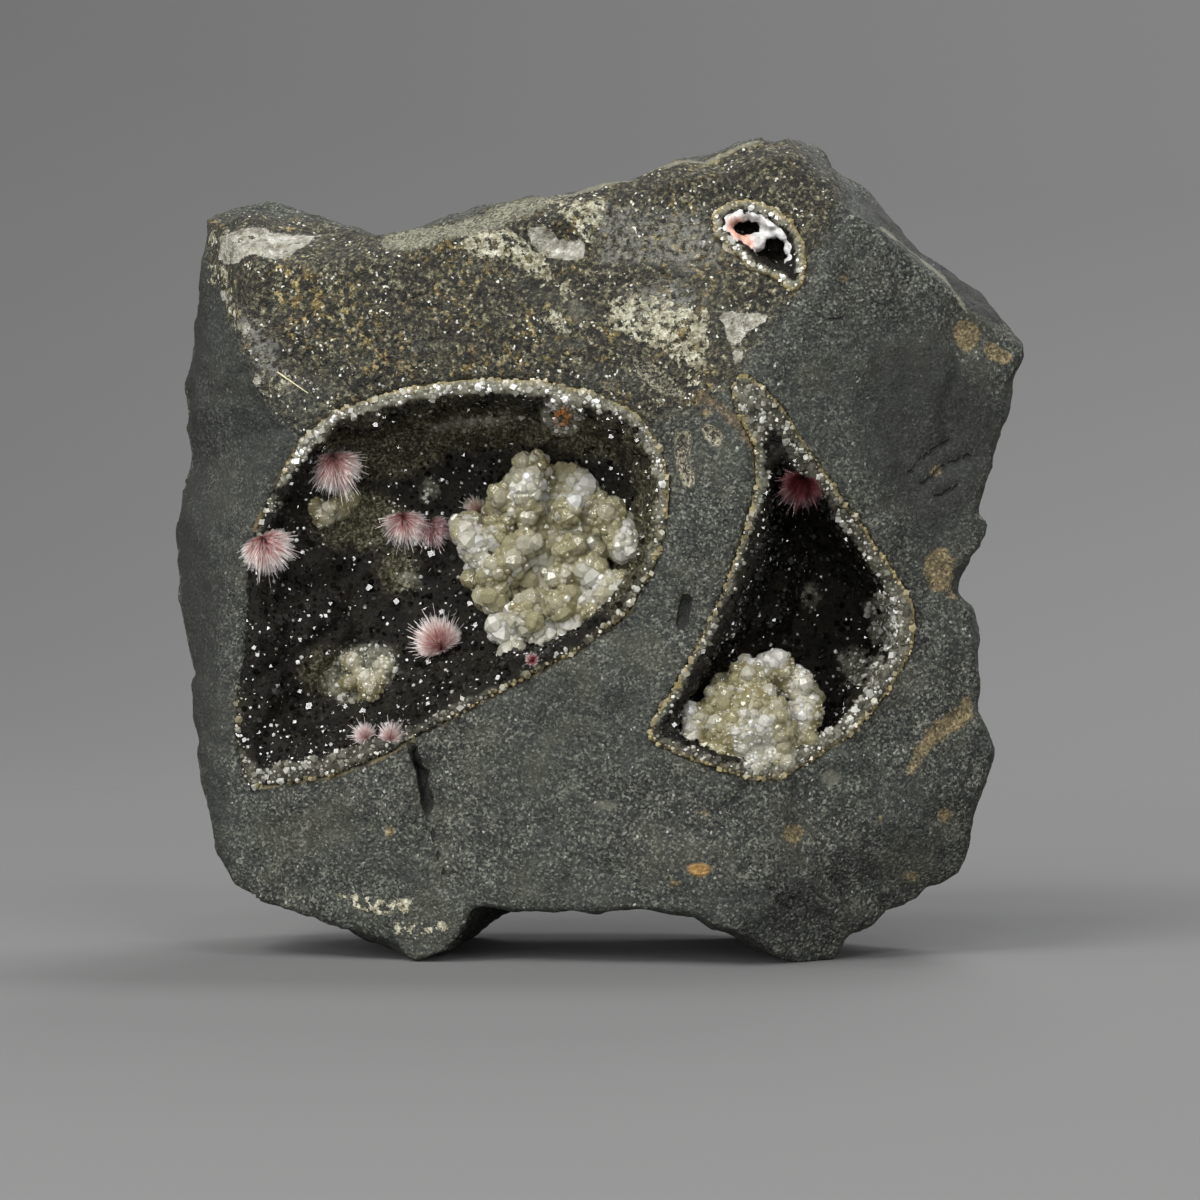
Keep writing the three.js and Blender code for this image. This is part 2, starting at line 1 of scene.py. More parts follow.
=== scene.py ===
# %% [markdown]
# # Natrolite with analcime
#
# The specimen is a broken block of dark basalt. Three gas pockets in it are lined with small crystals, and in the
# two large ones grow heaps of straw-coloured analcime and round sprays of natrolite needles, red at the root and
# white at the tip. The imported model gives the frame: its solids carry the place and size of everything, and here
# each of them gets the surface of the real stone.

# %% Frame
import math
import random

import bmesh
import bpy
import numpy as np
from mathutils import Matrix, Vector, noise
from mathutils.bvhtree import BVHTree


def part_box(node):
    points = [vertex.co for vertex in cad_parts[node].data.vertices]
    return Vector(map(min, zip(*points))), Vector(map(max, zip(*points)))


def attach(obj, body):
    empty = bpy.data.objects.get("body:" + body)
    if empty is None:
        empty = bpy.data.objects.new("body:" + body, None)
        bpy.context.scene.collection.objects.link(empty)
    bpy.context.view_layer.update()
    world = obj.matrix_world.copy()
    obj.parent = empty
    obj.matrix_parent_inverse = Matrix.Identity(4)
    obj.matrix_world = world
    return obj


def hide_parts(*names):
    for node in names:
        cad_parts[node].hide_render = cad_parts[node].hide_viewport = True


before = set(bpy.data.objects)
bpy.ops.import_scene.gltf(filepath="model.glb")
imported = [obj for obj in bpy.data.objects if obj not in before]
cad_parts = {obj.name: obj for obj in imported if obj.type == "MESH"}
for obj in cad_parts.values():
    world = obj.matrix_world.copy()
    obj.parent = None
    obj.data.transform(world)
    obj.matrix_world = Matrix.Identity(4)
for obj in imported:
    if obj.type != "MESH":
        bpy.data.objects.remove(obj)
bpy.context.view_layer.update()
MM = 0.001

# %% [markdown]
# Places on the front are given as [x, z] in millimetres, as an eye in front of the block sees them. The block's
# front is made of three planes, and a point that lies deeper is moved outwards along its line of sight. Those are
# the same sums as in the part's source, so every mark sits on the surface that it belongs to.

# %% Points of the front
EYE_DISTANCE = 417
EYE_HEIGHT = 46.25
ORIGIN = Vector((-0.3775, 25.8847, 0))
RIDGE_X = 17.5
SLOPE_Z = 68
FRONT_FACES = [
    ((RIDGE_X, 0), (-0.2, 0)),
    ((RIDGE_X, 0), (0.34, 0)),
    ((RIDGE_X, SLOPE_Z), (-0.08, 0.26)),
]


def on_front(x, z, deeper=0.0):
    """The point of the front that shows at [x, z], moved on along the line of sight, in metres."""
    depths = []
    for (px, pz), (nx, nz) in FRONT_FACES:
        offset = nx * (x - px) + nz * (z - pz)
        depths.append(offset / (1 - (nx * x + nz * (z - EYE_HEIGHT)) / EYE_DISTANCE))
    y = max(depths) + deeper
    farther = 1 + y / EYE_DISTANCE
    point = Vector((x * farther, y, EYE_HEIGHT + (z - EYE_HEIGHT) * farther))
    return (point - ORIGIN) * MM


EYE = (Vector((0, -EYE_DISTANCE, EYE_HEIGHT)) - ORIGIN) * MM
camera = bpy.data.objects.new("camera", bpy.data.cameras.new("camera"))
camera.data.lens = 100
camera.data.sensor_width = 36
camera.data.clip_start = 0.01
camera.location = EYE
camera.rotation_euler = (math.radians(90), 0, 0)
bpy.context.scene.collection.objects.link(camera)
bpy.context.scene.camera = camera

# %% [markdown]
# ## Meshes
#
# A CAD solid is a few large facets. Where the real surface is rough, its copy is rebuilt by a voxel remesh, which
# gives small even faces, and then moved by noise. NumPy holds all corners at once, so that is quick.


# %% Mesh helpers
def new_object(name, mesh):
    obj = bpy.data.objects.new(name, mesh)
    bpy.context.scene.collection.objects.link(obj)
    return obj


def solid_copy(node):
    """A copy of a CAD node's mesh with its loose triangles joined."""
    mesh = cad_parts[node].data.copy()
    mesh.materials.clear()
    form = bmesh.new()
    form.from_mesh(mesh)
    bmesh.ops.remove_doubles(form, verts=form.verts, dist=1e-7)
    form.to_mesh(mesh)
    form.free()
    return mesh


def evaluated(obj):
    """The mesh that an object's modifiers make. The modifiers are removed."""
    graph = bpy.context.evaluated_depsgraph_get()
    mesh = bpy.data.meshes.new_from_object(obj.evaluated_get(graph))
    obj.modifiers.clear()
    return mesh


def remeshed(name, mesh, voxel):
    obj = new_object(name, mesh)
    modifier = obj.modifiers.new("voxels", "REMESH")
    modifier.mode = "VOXEL"
    modifier.voxel_size = voxel * MM
    modifier.use_smooth_shade = True
    obj.data = evaluated(obj)
    return obj


def corners_of(mesh):
    places = np.zeros(len(mesh.vertices) * 3, np.float32)
    mesh.vertices.foreach_get("co", places)
    return places.reshape(-1, 3).astype(float)


def normals_of(mesh):
    facing = np.zeros(len(mesh.vertices) * 3, np.float32)
    mesh.vertex_normals.foreach_get("vector", facing)
    return facing.reshape(-1, 3).astype(float)


def set_corners(mesh, places):
    mesh.vertices.foreach_set("co", places.astype(np.float32).ravel())
    mesh.update()


def set_values(mesh, name, values):
    layer = mesh.attributes.get(name) or mesh.attributes.new(name, "FLOAT", "POINT")
    layer.data.foreach_set("value", np.asarray(values, np.float32))


def rough(places, size, octaves=3, seed=0.0):
    """Noise from about -1 to 1 whose broadest lumps are `size` millimetres wide."""
    start = Vector((seed, 2.3 * seed, 0.7 * seed))
    scaled = places / (size * MM)
    return np.array([noise.fractal(Vector(p) + start, 1.0, 2.0, octaves) for p in scaled])


def chipped(places, size, tilt, seed=0.0):
    """Flat chips `size` millimetres wide, each tilted its own way, with soft edges. In millimetres."""
    start = Vector((seed, 1.7 * seed, 0.4 * seed))
    heights = np.zeros(len(places))
    for i, place in enumerate(places):
        at = Vector(place) / (size * MM) + start
        far, centres = noise.voronoi(at)
        own, next_one = [noise.cell_vector(c * 7.3).dot(at - c) for c in centres[:2]]
        share = 0.5 + 0.5 * min(1.0, (far[1] - far[0]) / 0.22)
        heights[i] = own * share + next_one * (1 - share)
    return heights * tilt * size


def eased(values, low, high):
    t = np.clip((values - low) / (high - low), 0, 1)
    return t * t * (3 - 2 * t)


# %% [markdown]
# Stains, patches of other mineral and zones of painted shade have outlines on the front. Each corner of the rock
# stores how far inside the nearest outline it lies, in millimetres and negative outside. The material then adds fine
# noise to that distance before it draws the edge, so the edge is much finer than the mesh.


# %% Distance to an outline
def inside_of(outlines, places):
    """Distance into the nearest of several closed outlines of [x, z] points on the front, in millimetres."""
    best = np.full(len(places), -99.0)
    for outline in outlines:
        ring = np.array([on_front(x, z) for x, z in outline])[:, [0, 2]] / MM
        best = np.maximum(best, -signed_distance(ring, places[:, [0, 2]] / MM))
    return best


def signed_distance(ring, points):
    nearest = np.full(len(points), 1e9)
    within = np.zeros(len(points), bool)
    for a, b in zip(ring, np.roll(ring, -1, axis=0)):
        along = b - a
        share = np.clip((points - a) @ along / (along @ along), 0, 1)
        nearest = np.minimum(nearest, np.hypot(*(points - a - share[:, None] * along).T))
        crosses = (a[1] > points[:, 1]) != (b[1] > points[:, 1])
        rise = b[1] - a[1] if abs(b[1] - a[1]) > 1e-9 else 1e-9
        within ^= crosses & (points[:, 0] < a[0] + along[0] * (points[:, 1] - a[1]) / rise)
    return np.where(within, -nearest, nearest)


def from_line(lines, places):
    """Distance to the nearest of several open lines of [x, z] points on the front, in millimetres."""
    nearest = np.full(len(places), 99.0)
    points = places[:, [0, 2]] / MM
    for line in lines:
        spots = np.array([on_front(x, z) for x, z in line])[:, [0, 2]] / MM
        for a, b in zip(spots, spots[1:]):
            along = b - a
            share = np.clip((points - a) @ along / (along @ along), 0, 1)
            nearest = np.minimum(nearest, np.hypot(*(points - a - share[:, None] * along).T))
    return nearest


def oval(x, z, across, up, turn=0.0, corners=12):
    """An oval outline with half widths `across` and `up`, turned by some degrees."""
    c, s = math.cos(math.radians(turn)), math.sin(math.radians(turn))
    points = []
    for i in range(corners):
        angle = 2 * math.pi * i / corners
        u, v = across * math.cos(angle), up * math.sin(angle)
        points.append([x + u * c - v * s, z + u * s + v * c])
    return points


# %% [markdown]
# ## Materials
#
# Shader sums are written as Python expressions. A term wraps a socket, and each operator adds a Math node. All
# patterns read Object coordinates, in metres, so a pattern's scale is one over the size of its grains.


# %% Node terms
class Term:
    """A socket that takes part in sums."""

    def __init__(self, sheet, socket):
        self.sheet, self.socket = sheet, socket

    def sum(self, operation, *terms, **settings):
        return self.sheet.node("ShaderNodeMath", {"operation": operation, **settings}, list(terms))

    def __add__(self, other):
        return self.sum("ADD", self, other)

    def __radd__(self, other):
        return self.sum("ADD", other, self)

    def __sub__(self, other):
        return self.sum("SUBTRACT", self, other)

    def __rsub__(self, other):
        return self.sum("SUBTRACT", other, self)

    def __mul__(self, other):
        return self.sum("MULTIPLY", self, other)

    def __rmul__(self, other):
        return self.sum("MULTIPLY", other, self)

    def __pow__(self, other):
        return self.sum("POWER", self, other)

    def clamped(self):
        return self.sum("ADD", self, 0.0, use_clamp=True)

    def eased(self, low, high):
        """0 below low, 1 above high and smooth between them."""
        inputs = {"Value": self, "From Min": low, "From Max": high}
        return self.sheet.node("ShaderNodeMapRange", {"interpolation_type": "SMOOTHSTEP"}, inputs)


class Sheet:
    """A node tree, to which `node` adds a node of any type."""

    def __init__(self, tree):
        self.tree = tree

    def node(self, kind, settings=None, inputs=None, output=0):
        made = self.tree.nodes.new(kind)
        for key, value in (settings or {}).items():
            if key == "stops":
                while len(made.color_ramp.elements) < len(value):
                    made.color_ramp.elements.new(1.0)
                for element, (place, colour) in zip(made.color_ramp.elements, value):
                    element.position, element.color = place, (*colour, 1)
            else:
                setattr(made, key, value)
        pairs = inputs.items() if isinstance(inputs, dict) else enumerate(inputs or [])
        for key, value in pairs:
            if isinstance(value, Term):
                self.tree.links.new(value.socket, made.inputs[key])
            else:
                made.inputs[key].default_value = value
        return Term(self, made.outputs[output]) if made.outputs else None


class Finish(Sheet):
    """A material that is made of patterns in Object coordinates and of values stored on the mesh."""

    def __init__(self, name):
        self.material = bpy.data.materials.new(name)
        self.material.use_nodes = True
        super().__init__(self.material.node_tree)
        self.tree.nodes.clear()
        self.place = self.node("ShaderNodeTexCoord", output="Object")

    def stored(self, name):
        return self.node("ShaderNodeAttribute", {"attribute_name": name}, output="Fac")

    def lumps(self, size, detail=3.0, rough=0.55, seed=0.0):
        """Noise around 0.5 with lumps `size` millimetres wide."""
        place = self.place
        if seed:
            start = (0.031 * seed, 0.017 * seed, 0.023 * seed)
            place = self.node("ShaderNodeVectorMath", {"operation": "ADD"}, [place, start])
        inputs = {"Vector": place, "Scale": 1 / (size * MM), "Detail": detail, "Roughness": rough}
        return self.node("ShaderNodeTexNoise", inputs=inputs)

    def grains(self, size, output="Color", feature="F1"):
        """A random colour in each of many grains `size` millimetres wide, or the distance to its middle."""
        inputs = {"Vector": self.place, "Scale": 1 / (size * MM)}
        return self.node("ShaderNodeTexVoronoi", {"feature": feature}, inputs, output)

    def ramp(self, value, *stops):
        return self.node("ShaderNodeValToRGB", {"stops": stops}, [value])

    def mixed(self, share, a, b, blend="MIX"):
        """Colour b over colour a. A plain colour is a tuple."""
        a, b = [(*c, 1) if isinstance(c, tuple) else c for c in (a, b)]
        settings = {"data_type": "RGBA", "blend_type": blend, "clamp_factor": True}
        return self.node("ShaderNodeMix", settings, {0: share, 6: a, 7: b}, output=2)

    def bump(self, height, depth, under=None):
        """A bump of `depth` millimetres."""
        inputs = {"Height": height, "Distance": depth * MM, "Strength": 1.0}
        if under is not None:
            inputs["Normal"] = under
        return self.node("ShaderNodeBump", inputs=inputs)

    def close(self, colour, **values):
        """The surface. Names of sockets are written with _ for a space."""
        inputs = {"Base Color": (*colour, 1) if isinstance(colour, tuple) else colour}
        inputs.update({key.replace("_", " "): value for key, value in values.items()})
        surface = self.node("ShaderNodeBsdfPrincipled", inputs=inputs)
        self.node("ShaderNodeOutputMaterial", inputs={"Surface": surface})
        return self.material


# %% [markdown]
# ## The block of basalt
#
# Fresh basalt is a felt of tiny grains, dark grey-green with paler specks of feldspar, of which the brightest are
# painted glints. The face above the left pocket has weathered for long: brown, rusty and coarser, with painted
# glints as well. White and yellowish crusts of mineral lie on it in patches, and small filled gas bubbles show as
# tan spots elsewhere. Painted shade darkens the left side, zones along the edges, the bevel at the top right, the
# cracks and the middles of the tiny pockets. All of that is one mesh with several stored distances, because the real
# thing is one stone too.

# %% Rims of the pockets
LEFT_RIM = [
    [-37.5, 66.3], [-33.6, 69.8], [-26.6, 72.1], [-20, 73.4], [-14.4, 73.8], [-7.2, 73.6],
    [-0.4, 72.1], [4.8, 69.6], [7.6, 65.4], [8.6, 60.6], [8.3, 55.2], [6.6, 49.4],
    [3.2, 44.4], [-1.9, 40.3], [-7.6, 37.4], [-14, 34], [-20.4, 30.3], [-27.5, 26.3],
    [-33.6, 24.1], [-39.6, 23.1], [-44.4, 22.4], [-45.4, 27.5], [-45.4, 35], [-45, 43.4],
    [-44.5, 51.9], [-41.9, 58.4],
]
RIGHT_RIM = [
    [16.3, 72.8], [17.4, 74.4], [19.2, 73.9], [22.6, 70.4], [26, 65], [29.7, 59.7],
    [33.4, 54.4], [36.9, 49.4], [39.2, 45.4], [39.1, 40.4], [35.8, 34.6], [31.4, 29.6],
    [26.2, 26], [22.3, 23.9], [18.1, 24.1], [12, 26.2], [6.2, 28.7], [6.6, 31],
    [9.6, 35.8], [13, 41.8], [15.7, 48], [17.8, 54.2], [19.6, 60.4], [19.4, 65.4],
    [17.2, 69.8],
]
SMALL_RIM = [
    [14, 94.3], [16, 95.8], [18.5, 96.1], [21.3, 95.4], [23.8, 93.5], [25.4, 90.9],
    [25.6, 88.1], [25.2, 85.6], [23.8, 84.9], [21.8, 86.6], [19, 87.7], [16.9, 89.6],
    [14.6, 91.8],
]

# %% Marks on the rock
WEATHERED = [[
    [-52, 96], [-28, 94], [-12, 98], [10, 102], [24, 106], [31, 100], [29, 93], [25, 84], [21, 80],
    [17, 74], [12, 70], [6.2, 67.5], [0, 72], [-8, 73.4], [-20, 73.2], [-32, 70.6], [-37.5, 66.3],
    [-41.8, 71], [-44.4, 76], [-47.2, 82], [-48.2, 86],
]]
WHITE_CRUST = [
    [[-48.1, 92.5], [-43.4, 93], [-40.5, 92.8], [-35.1, 92.5], [-36.8, 91.1], [-39.5, 89.4],
     [-42.1, 88.8], [-43.8, 89.4], [-45.5, 88.4], [-49, 89.1], [-48, 90.5]],
    [[-48.4, 85.8], [-47.4, 85.6], [-46.9, 83.5], [-48, 83.9]],
    [[-45.3, 81.2], [-44, 81], [-43.5, 79.3], [-44.8, 79.5]],
    [[-43.1, 75], [-42.3, 74.5], [-42, 72.2], [-43, 73]],
    [[-9, 92.8], [-6.9, 93], [-5, 91.5], [-2.2, 91.3], [-2.2, 89.4], [-3.8, 88.5], [-6.5, 89.3], [-8.1, 90.8]],
    [[14.2, 82.2], [21.3, 82.2], [20.3, 80.7], [18.5, 79.8], [17.3, 78.1], [16.3, 78.3], [15.5, 80.3]],
    [[16.5, 77.8], [18, 77.5], [17.8, 76], [16.8, 75.5]],
]
YELLOW_CRUST = [
    [[-32.6, 9.4], [-30, 9.6], [-27, 8.2], [-24.4, 8.6], [-23.4, 7.2], [-26, 6.6], [-29.5, 7.6]],
    [[-28.6, 5.4], [-25, 5.6], [-21.9, 6.3], [-19.1, 5.8], [-19.6, 4.6], [-22.5, 4.3], [-26.3, 4.6]],
    [[-47.6, 85.6], [-46.4, 85], [-45.2, 81.6], [-43.6, 79.4], [-44.6, 79], [-46.4, 81.4], [-47.2, 83.4]],
    [[-50.6, 93], [-49.4, 93.5], [-48.5, 92.8], [-49.3, 91.3], [-50.5, 91.5]],
    [[-49.8, 88.8], [-47.8, 88.6], [-46.3, 86.5], [-47.8, 86], [-49.2, 87]],
    [[-17.8, 90.9], [-15, 92.3], [-11.9, 92.8], [-9, 91.5], [-7.5, 89.3], [-5.5, 87.5], [-6, 86],
     [-8.8, 87.3], [-11.3, 88.5], [-15.3, 89]],
    [[-6.9, 96.3], [-3.8, 96.9], [0, 96.2], [0.8, 94.4], [-0.5, 92.5], [-1.3, 90.6], [-2.5, 91.3], [-3.1, 93.1],
     [-5, 94.4]],
    [[-5.5, 86.5], [-3.8, 86.8], [-3.5, 84.3], [-4.3, 83.5], [-5, 84.8]],
    [[-6.5, 82.3], [-4.8, 82], [-3.8, 80], [-5, 79.3], [-6.3, 80.5]],
    [[1.5, 83.4], [4, 84.4], [9, 84], [13.2, 82.2], [13.2, 77.6], [12, 75], [9, 76.8], [6, 78], [3, 79.4],
     [1, 81]],
    [[9.4, 77.5], [12.5, 77.3], [13.1, 75], [12.3, 73.3], [11, 73.5], [10, 75.5]],
    [[-40, 74.2], [-38.6, 73.6], [-38.9, 72.2], [-40.2, 72.6]],
]
TAN_SPOTS = [
    oval(46.2, 79.4, 1.9, 2.2), oval(50, 77, 2.2, 1.3, -30), oval(42.5, 50, 2.1, 3), oval(44.6, 47.6, 1.2, 1.6),
    [[46.9, 35], [45, 33.8], [42.5, 31.9], [40.6, 30], [39, 26.9], [38.2, 24.4], [39.4, 24.4], [41.3, 27.5],
     [43.8, 29.4], [46.9, 31.3]],
    oval(24.3, 16.9, 1.6, 1.5), oval(39.3, 11.4, 1, 0.8), oval(43.5, 19.1, 1, 1.1), oval(12.9, 19.4, 0.7, 0.7),
    oval(-26.3, 17.3, 0.9, 0.9), oval(9.4, 10.9, 0.9, 0.6), oval(13, 69.6, 1, 0.8), oval(35, 19, 0.6, 0.6),
    oval(30.5, 86.4, 0.9, 0.7), oval(42, 62.3, 1.2, 0.8, 30),
]
AMBER_SPOT = [oval(12.6, 12.6, 1.7, 1)]
GREY_SPOTS = [oval(28.9, 24.1, 1.3, 1.3), oval(0.6, 20.5, 1.8, 0.8), oval(-3, 82.5, 1.2, 1.4)]
HAZE = [
    [[-0.6, 95.8], [12.6, 94.4], [15, 88.8], [11.3, 87.5], [5, 88.5], [0, 88.5]],
    [[-46.6, 84.4], [-44.6, 82.6], [-41.6, 80], [-40.2, 76], [-37.6, 72.6], [-39.6, 72], [-43.6, 76.6]],
    [[3, 85], [9, 86], [13, 84], [10, 81], [4, 81.6]],
]
BEVEL = [[
    [-27.5, 91.3], [-24.4, 92.3], [-20, 93.8], [-12.5, 96.2], [-6.5, 97.6], [-5, 96.6], [-6.9, 95.3],
    [-12.5, 93.6], [-17.5, 91.6], [-22.5, 90], [-26.9, 89.8],
]]
# The left side of the block, darkened as painted shade.
LEFT_SIDE = [[
    [-56, 92], [-50.6, 90.6], [-48, 85.9], [-47.1, 82], [-44.3, 76], [-41.8, 71], [-37.8, 66.5], [-41, 58],
    [-45.5, 50], [-46, 28], [-47, 10], [-56, 8],
]]
PALE_EDGES = [
    [[36, 93.6], [38.1, 91.3], [41, 88.4], [43.4, 86.2], [46.2, 82.5]],
    [[-5, 97.1], [10, 101], [20, 103.9]],
]
STAIN = [[12.5, 72], [15.6, 70], [18.8, 66.3], [20.3, 64], [20.2, 61.5]]
CRACKS = [
    [[-21.2, 17.6], [-20.9, 16.3], [-20.6, 14.9], [-20, 13.5], [-19.6, 11.8]],
    [[28.4, 81.2], [29.8, 81.3], [31, 81.9]],
]
SLOT = [[10.8, 46.3], [10.4, 44.8], [10.2, 43.2]]
WEDGE = [[[-24, 28.3], [-23.2, 28], [-21.9, 24.8], [-21.2, 21.4], [-21.6, 18.6], [-22, 21], [-22.8, 24.6]]]
# Zones of painted shade: one on the right beside the right pocket, one along the left edge.
PAINTED_SHADE_ZONES = [
    [[33, 79], [41, 82], [46, 76], [52, 72], [50.4, 63], [48.6, 58.6], [45.6, 55], [41, 50], [35.6, 58],
     [31.6, 64]],
    [[-56, 100], [-51, 90], [-48.4, 84], [-50, 70], [-49, 50], [-48, 20], [-46, 8], [-56, 8]],
]
TINY_POCKETS = [
    [[9.4, 67.6], [11.2, 67.4], [11.3, 65.4], [10.9, 63.6], [11.8, 61.6], [11.5, 60.3], [10.3, 60.6], [9.6, 62.8],
     [9.2, 65.3]],
    [[12.4, 68.2], [13.6, 68.4], [15.2, 67.2], [15.1, 65.4], [13.9, 65.7], [13, 66.6]],
    [[3.9, 76.5], [5.6, 76.3], [7.5, 75], [9.5, 73.5], [10.6, 72], [8.3, 71.9], [6.3, 73.1], [4.8, 74.4]],
]
# The bevel at the top right, darkened as painted shade.
TOP_BEVEL = [[
    [33, 97.6], [36.2, 93.9], [38.2, 91.5], [41, 88.7], [43.6, 86.4], [46.6, 82.6], [50, 81], [56, 80], [50, 92],
    [36, 102],
]]
SCRATCHES = [
    [[38.5, 62], [41.5, 64.8], [44, 66.3]], [[40, 60.5], [43.5, 63.2], [46.5, 64.4]], [[41.8, 59], [45, 60.6]],
    [[22, 8.6], [24.2, 7.2]], [[21.5, 10.2], [24.4, 8.6], [26.5, 8.2]], [[28.8, 11.6], [30.5, 9.8], [31.2, 8]],
]

# %% Rock mesh
VOXEL = 0.74
HIDDEN = -30.0
RIMS = [LEFT_RIM, RIGHT_RIM, SMALL_RIM]

rock = remeshed("basalt_block", solid_copy("basalt_matrix"), VOXEL)
places = corners_of(rock.data)
# The upper left corner stands up square, above the white patch.
lift = 3.5 * eased(-places[:, 0] / MM, 34, 47) * eased(places[:, 2] / MM, 85, 92.5)
lift *= 1 - eased(places[:, 1] / MM, 0, 18)
places[:, 2] += lift * MM
set_corners(rock.data, places)
facing = normals_of(rock.data)

# %% Distances stored on the rock
# Marks belong to the front, and fade where the surface turns away from it. Those on the upper edge end at the back.
seen = np.where(facing[:, 1] < -0.25, 0.0, HIDDEN)
near = np.where(places[:, 1] < -4 * MM, 0.0, HIDDEN)
marks = {
    "weathered": WEATHERED,
    "white_crust": WHITE_CRUST,
    "yellow_crust": YELLOW_CRUST,
    "tan_spots": TAN_SPOTS,
    "amber_spot": AMBER_SPOT,
    "grey_spots": GREY_SPOTS,
    "haze": HAZE,
    "tiny_pockets": TINY_POCKETS,
    "dark_zones": PAINTED_SHADE_ZONES,
    "left_side": LEFT_SIDE,
}
stored = {name: inside_of(outlines, places) + seen for name, outlines in marks.items()}
wedge = inside_of(WEDGE, places) + seen
slot = from_line([SLOT], places) - seen
cracks = from_line(CRACKS + SCRATCHES, places) - seen
in_rims = inside_of(RIMS, places)
stored["cracks"] = np.minimum(np.minimum(cracks, slot - 0.45), -wedge)
stored["stain"] = from_line([STAIN], places) - seen
stored["bevel"] = np.where(facing[:, 2] > 0.3, inside_of(BEVEL, places), HIDDEN) + near
stored["top_bevel"] = inside_of(TOP_BEVEL, places) + near
stored["pale_edge"] = from_line(PALE_EDGES, places) - near
# The rim has no rusty halo on the lower left.
stored["rim"] = -in_rims - seen + 9 * (places[:, 0] < -43.5 * MM) * (places[:, 2] < 55 * MM)
for name, values in stored.items():
    set_values(rock.data, name, values)

# %% Relief of the rock
broad = rough(places, 14, 3, 4.1)
middle = rough(places, 5, 3, 9.7)
fine = rough(places, 1.8, 3, 2.2)
coarse_share = 0.35 + 0.65 * eased(stored["weathered"], -1.5, 2)
chips = chipped(places, 9, 0.12, 3.1) + chipped(places, 3.4, 0.15, 5.9) * (0.4 + 0.6 * eased(broad, -0.2, 0.5))
crust = np.maximum(stored["white_crust"], stored["yellow_crust"])
spots = np.maximum.reduce([stored[name] for name in ("tan_spots", "amber_spot", "grey_spots")])
height = 0.35 * broad + 0.2 * middle + 0.2 * fine * coarse_share + chips
height += 0.22 * eased(crust, -0.3, 0.6) * (0.6 + 0.6 * rough(places, 2.4, 2, 7.7))
height -= 0.45 * eased(spots, -0.3, 0.9) * (0.5 + 0.5 * fine)
height -= 0.35 * (1 - eased(cracks, 0.15, 0.7))
height -= 1.3 * (1 - eased(slot, 0.25, 1.0)) + 2.2 * eased(wedge, -0.4, 0.5)
height -= 1.1 * eased(stored["tiny_pockets"], -0.3, 0.7)
# The feet stay flat, and the walls of the pockets stay under their crust of crystals.
height *= eased(places[:, 2] / MM, 0.2, 2.0)
height = np.where((in_rims > 0.4) & (facing[:, 1] < 0.3), 0.0, height)
height *= 0.35 + 0.65 * eased(np.abs(in_rims), 0.2, 1.5)
set_corners(rock.data, places + facing * height[:, None] * MM)
print("rock:", len(rock.data.polygons), "faces")


# %% Fresh and weathered rock
def fresh_rock(f, felt, flecks):
    """Dark grey-green felt with paler zones, pores and bright specks of feldspar, which are painted glints. Returns
    its colour and the specks.
    """
    fresh = f.ramp(
        felt,
        (0.12, (0.002, 0.0025, 0.002)),
        (0.42, (0.016, 0.018, 0.0145)),
        (0.66, (0.045, 0.048, 0.038)),
        (0.95, (0.15, 0.155, 0.125)),
    )
    broad = f.lumps(16, 2, 0.55, 2.0)
    fresh = f.mixed(broad.eased(0.4, 0.7) * 0.35, fresh, (0.026, 0.032, 0.026))
    fresh = f.mixed(f.lumps(7, 2, 0.6, 4.4).eased(0.5, 0.7) * 0.35, fresh, (0.05, 0.048, 0.032))
    pores = f.lumps(1.0, 3, 0.7, 33.0).eased(0.65, 0.7)
    fresh = f.mixed(pores * 0.75, fresh, (0.005, 0.005, 0.004))
    # Painted glints: a few feldspar specks are drawn bright, in patches.
    bright = flecks.eased(0.985, 0.995) * f.lumps(4, 2, 0.6, 7.5).eased(0.45, 0.65)
    fresh = f.mixed(bright, fresh, (0.27, 0.27, 0.24))
    frost = f.lumps(0.5, 2, 0.75, 17.0).eased(0.59, 0.74) * f.lumps(9, 2, 0.6, 18.0).eased(0.5, 0.62)
    fresh = f.mixed(frost * 0.4, fresh, (0.11, 0.12, 0.105))
    return fresh, bright


def weathered_rock(f, fresh, small, flecks):
    """Brown and coarser rock with ochre patches, pale flecks that are painted glints, and the fresh rock showing
    through in places.
    """
    coarse = f.node("ShaderNodeSeparateColor", inputs=[f.grains(0.42)], output=0)
    brown = f.ramp(
        coarse * 0.35 + small * 0.15 + f.lumps(0.8, 3, 0.75, 15.0) - 0.27,
        (0.24, (0.0025, 0.0025, 0.002)),
        (0.42, (0.013, 0.0125, 0.008)),
        (0.56, (0.04, 0.037, 0.023)),
        (0.7, (0.12, 0.11, 0.068)),
        (0.86, (0.36, 0.34, 0.24)),
    )
    ochre = f.lumps(1.3, 3, 0.75, 6.0).eased(0.535, 0.59) * f.lumps(9, 2, 0.6, 16.0).eased(0.44, 0.56)
    ochre_colour = f.ramp(
        coarse,
        (0.1, (0.05, 0.032, 0.009)),
        (0.6, (0.15, 0.11, 0.036)),
        (1.0, (0.36, 0.29, 0.13)),
    )
    brown = f.mixed(ochre * 0.85, brown, ochre_colour)
    brown = f.mixed(f.lumps(8, 2, 0.6, 8.0).eased(0.52, 0.66) * 0.5, brown, fresh)
    # Painted glints: pale flecks in patches on the brown rock.
    glint_flecks = flecks.eased(0.962, 0.97) * f.lumps(3, 2, 0.6, 35.0).eased(0.48, 0.6)
    brown = f.mixed(glint_flecks, brown, (0.55, 0.56, 0.5))
    return brown


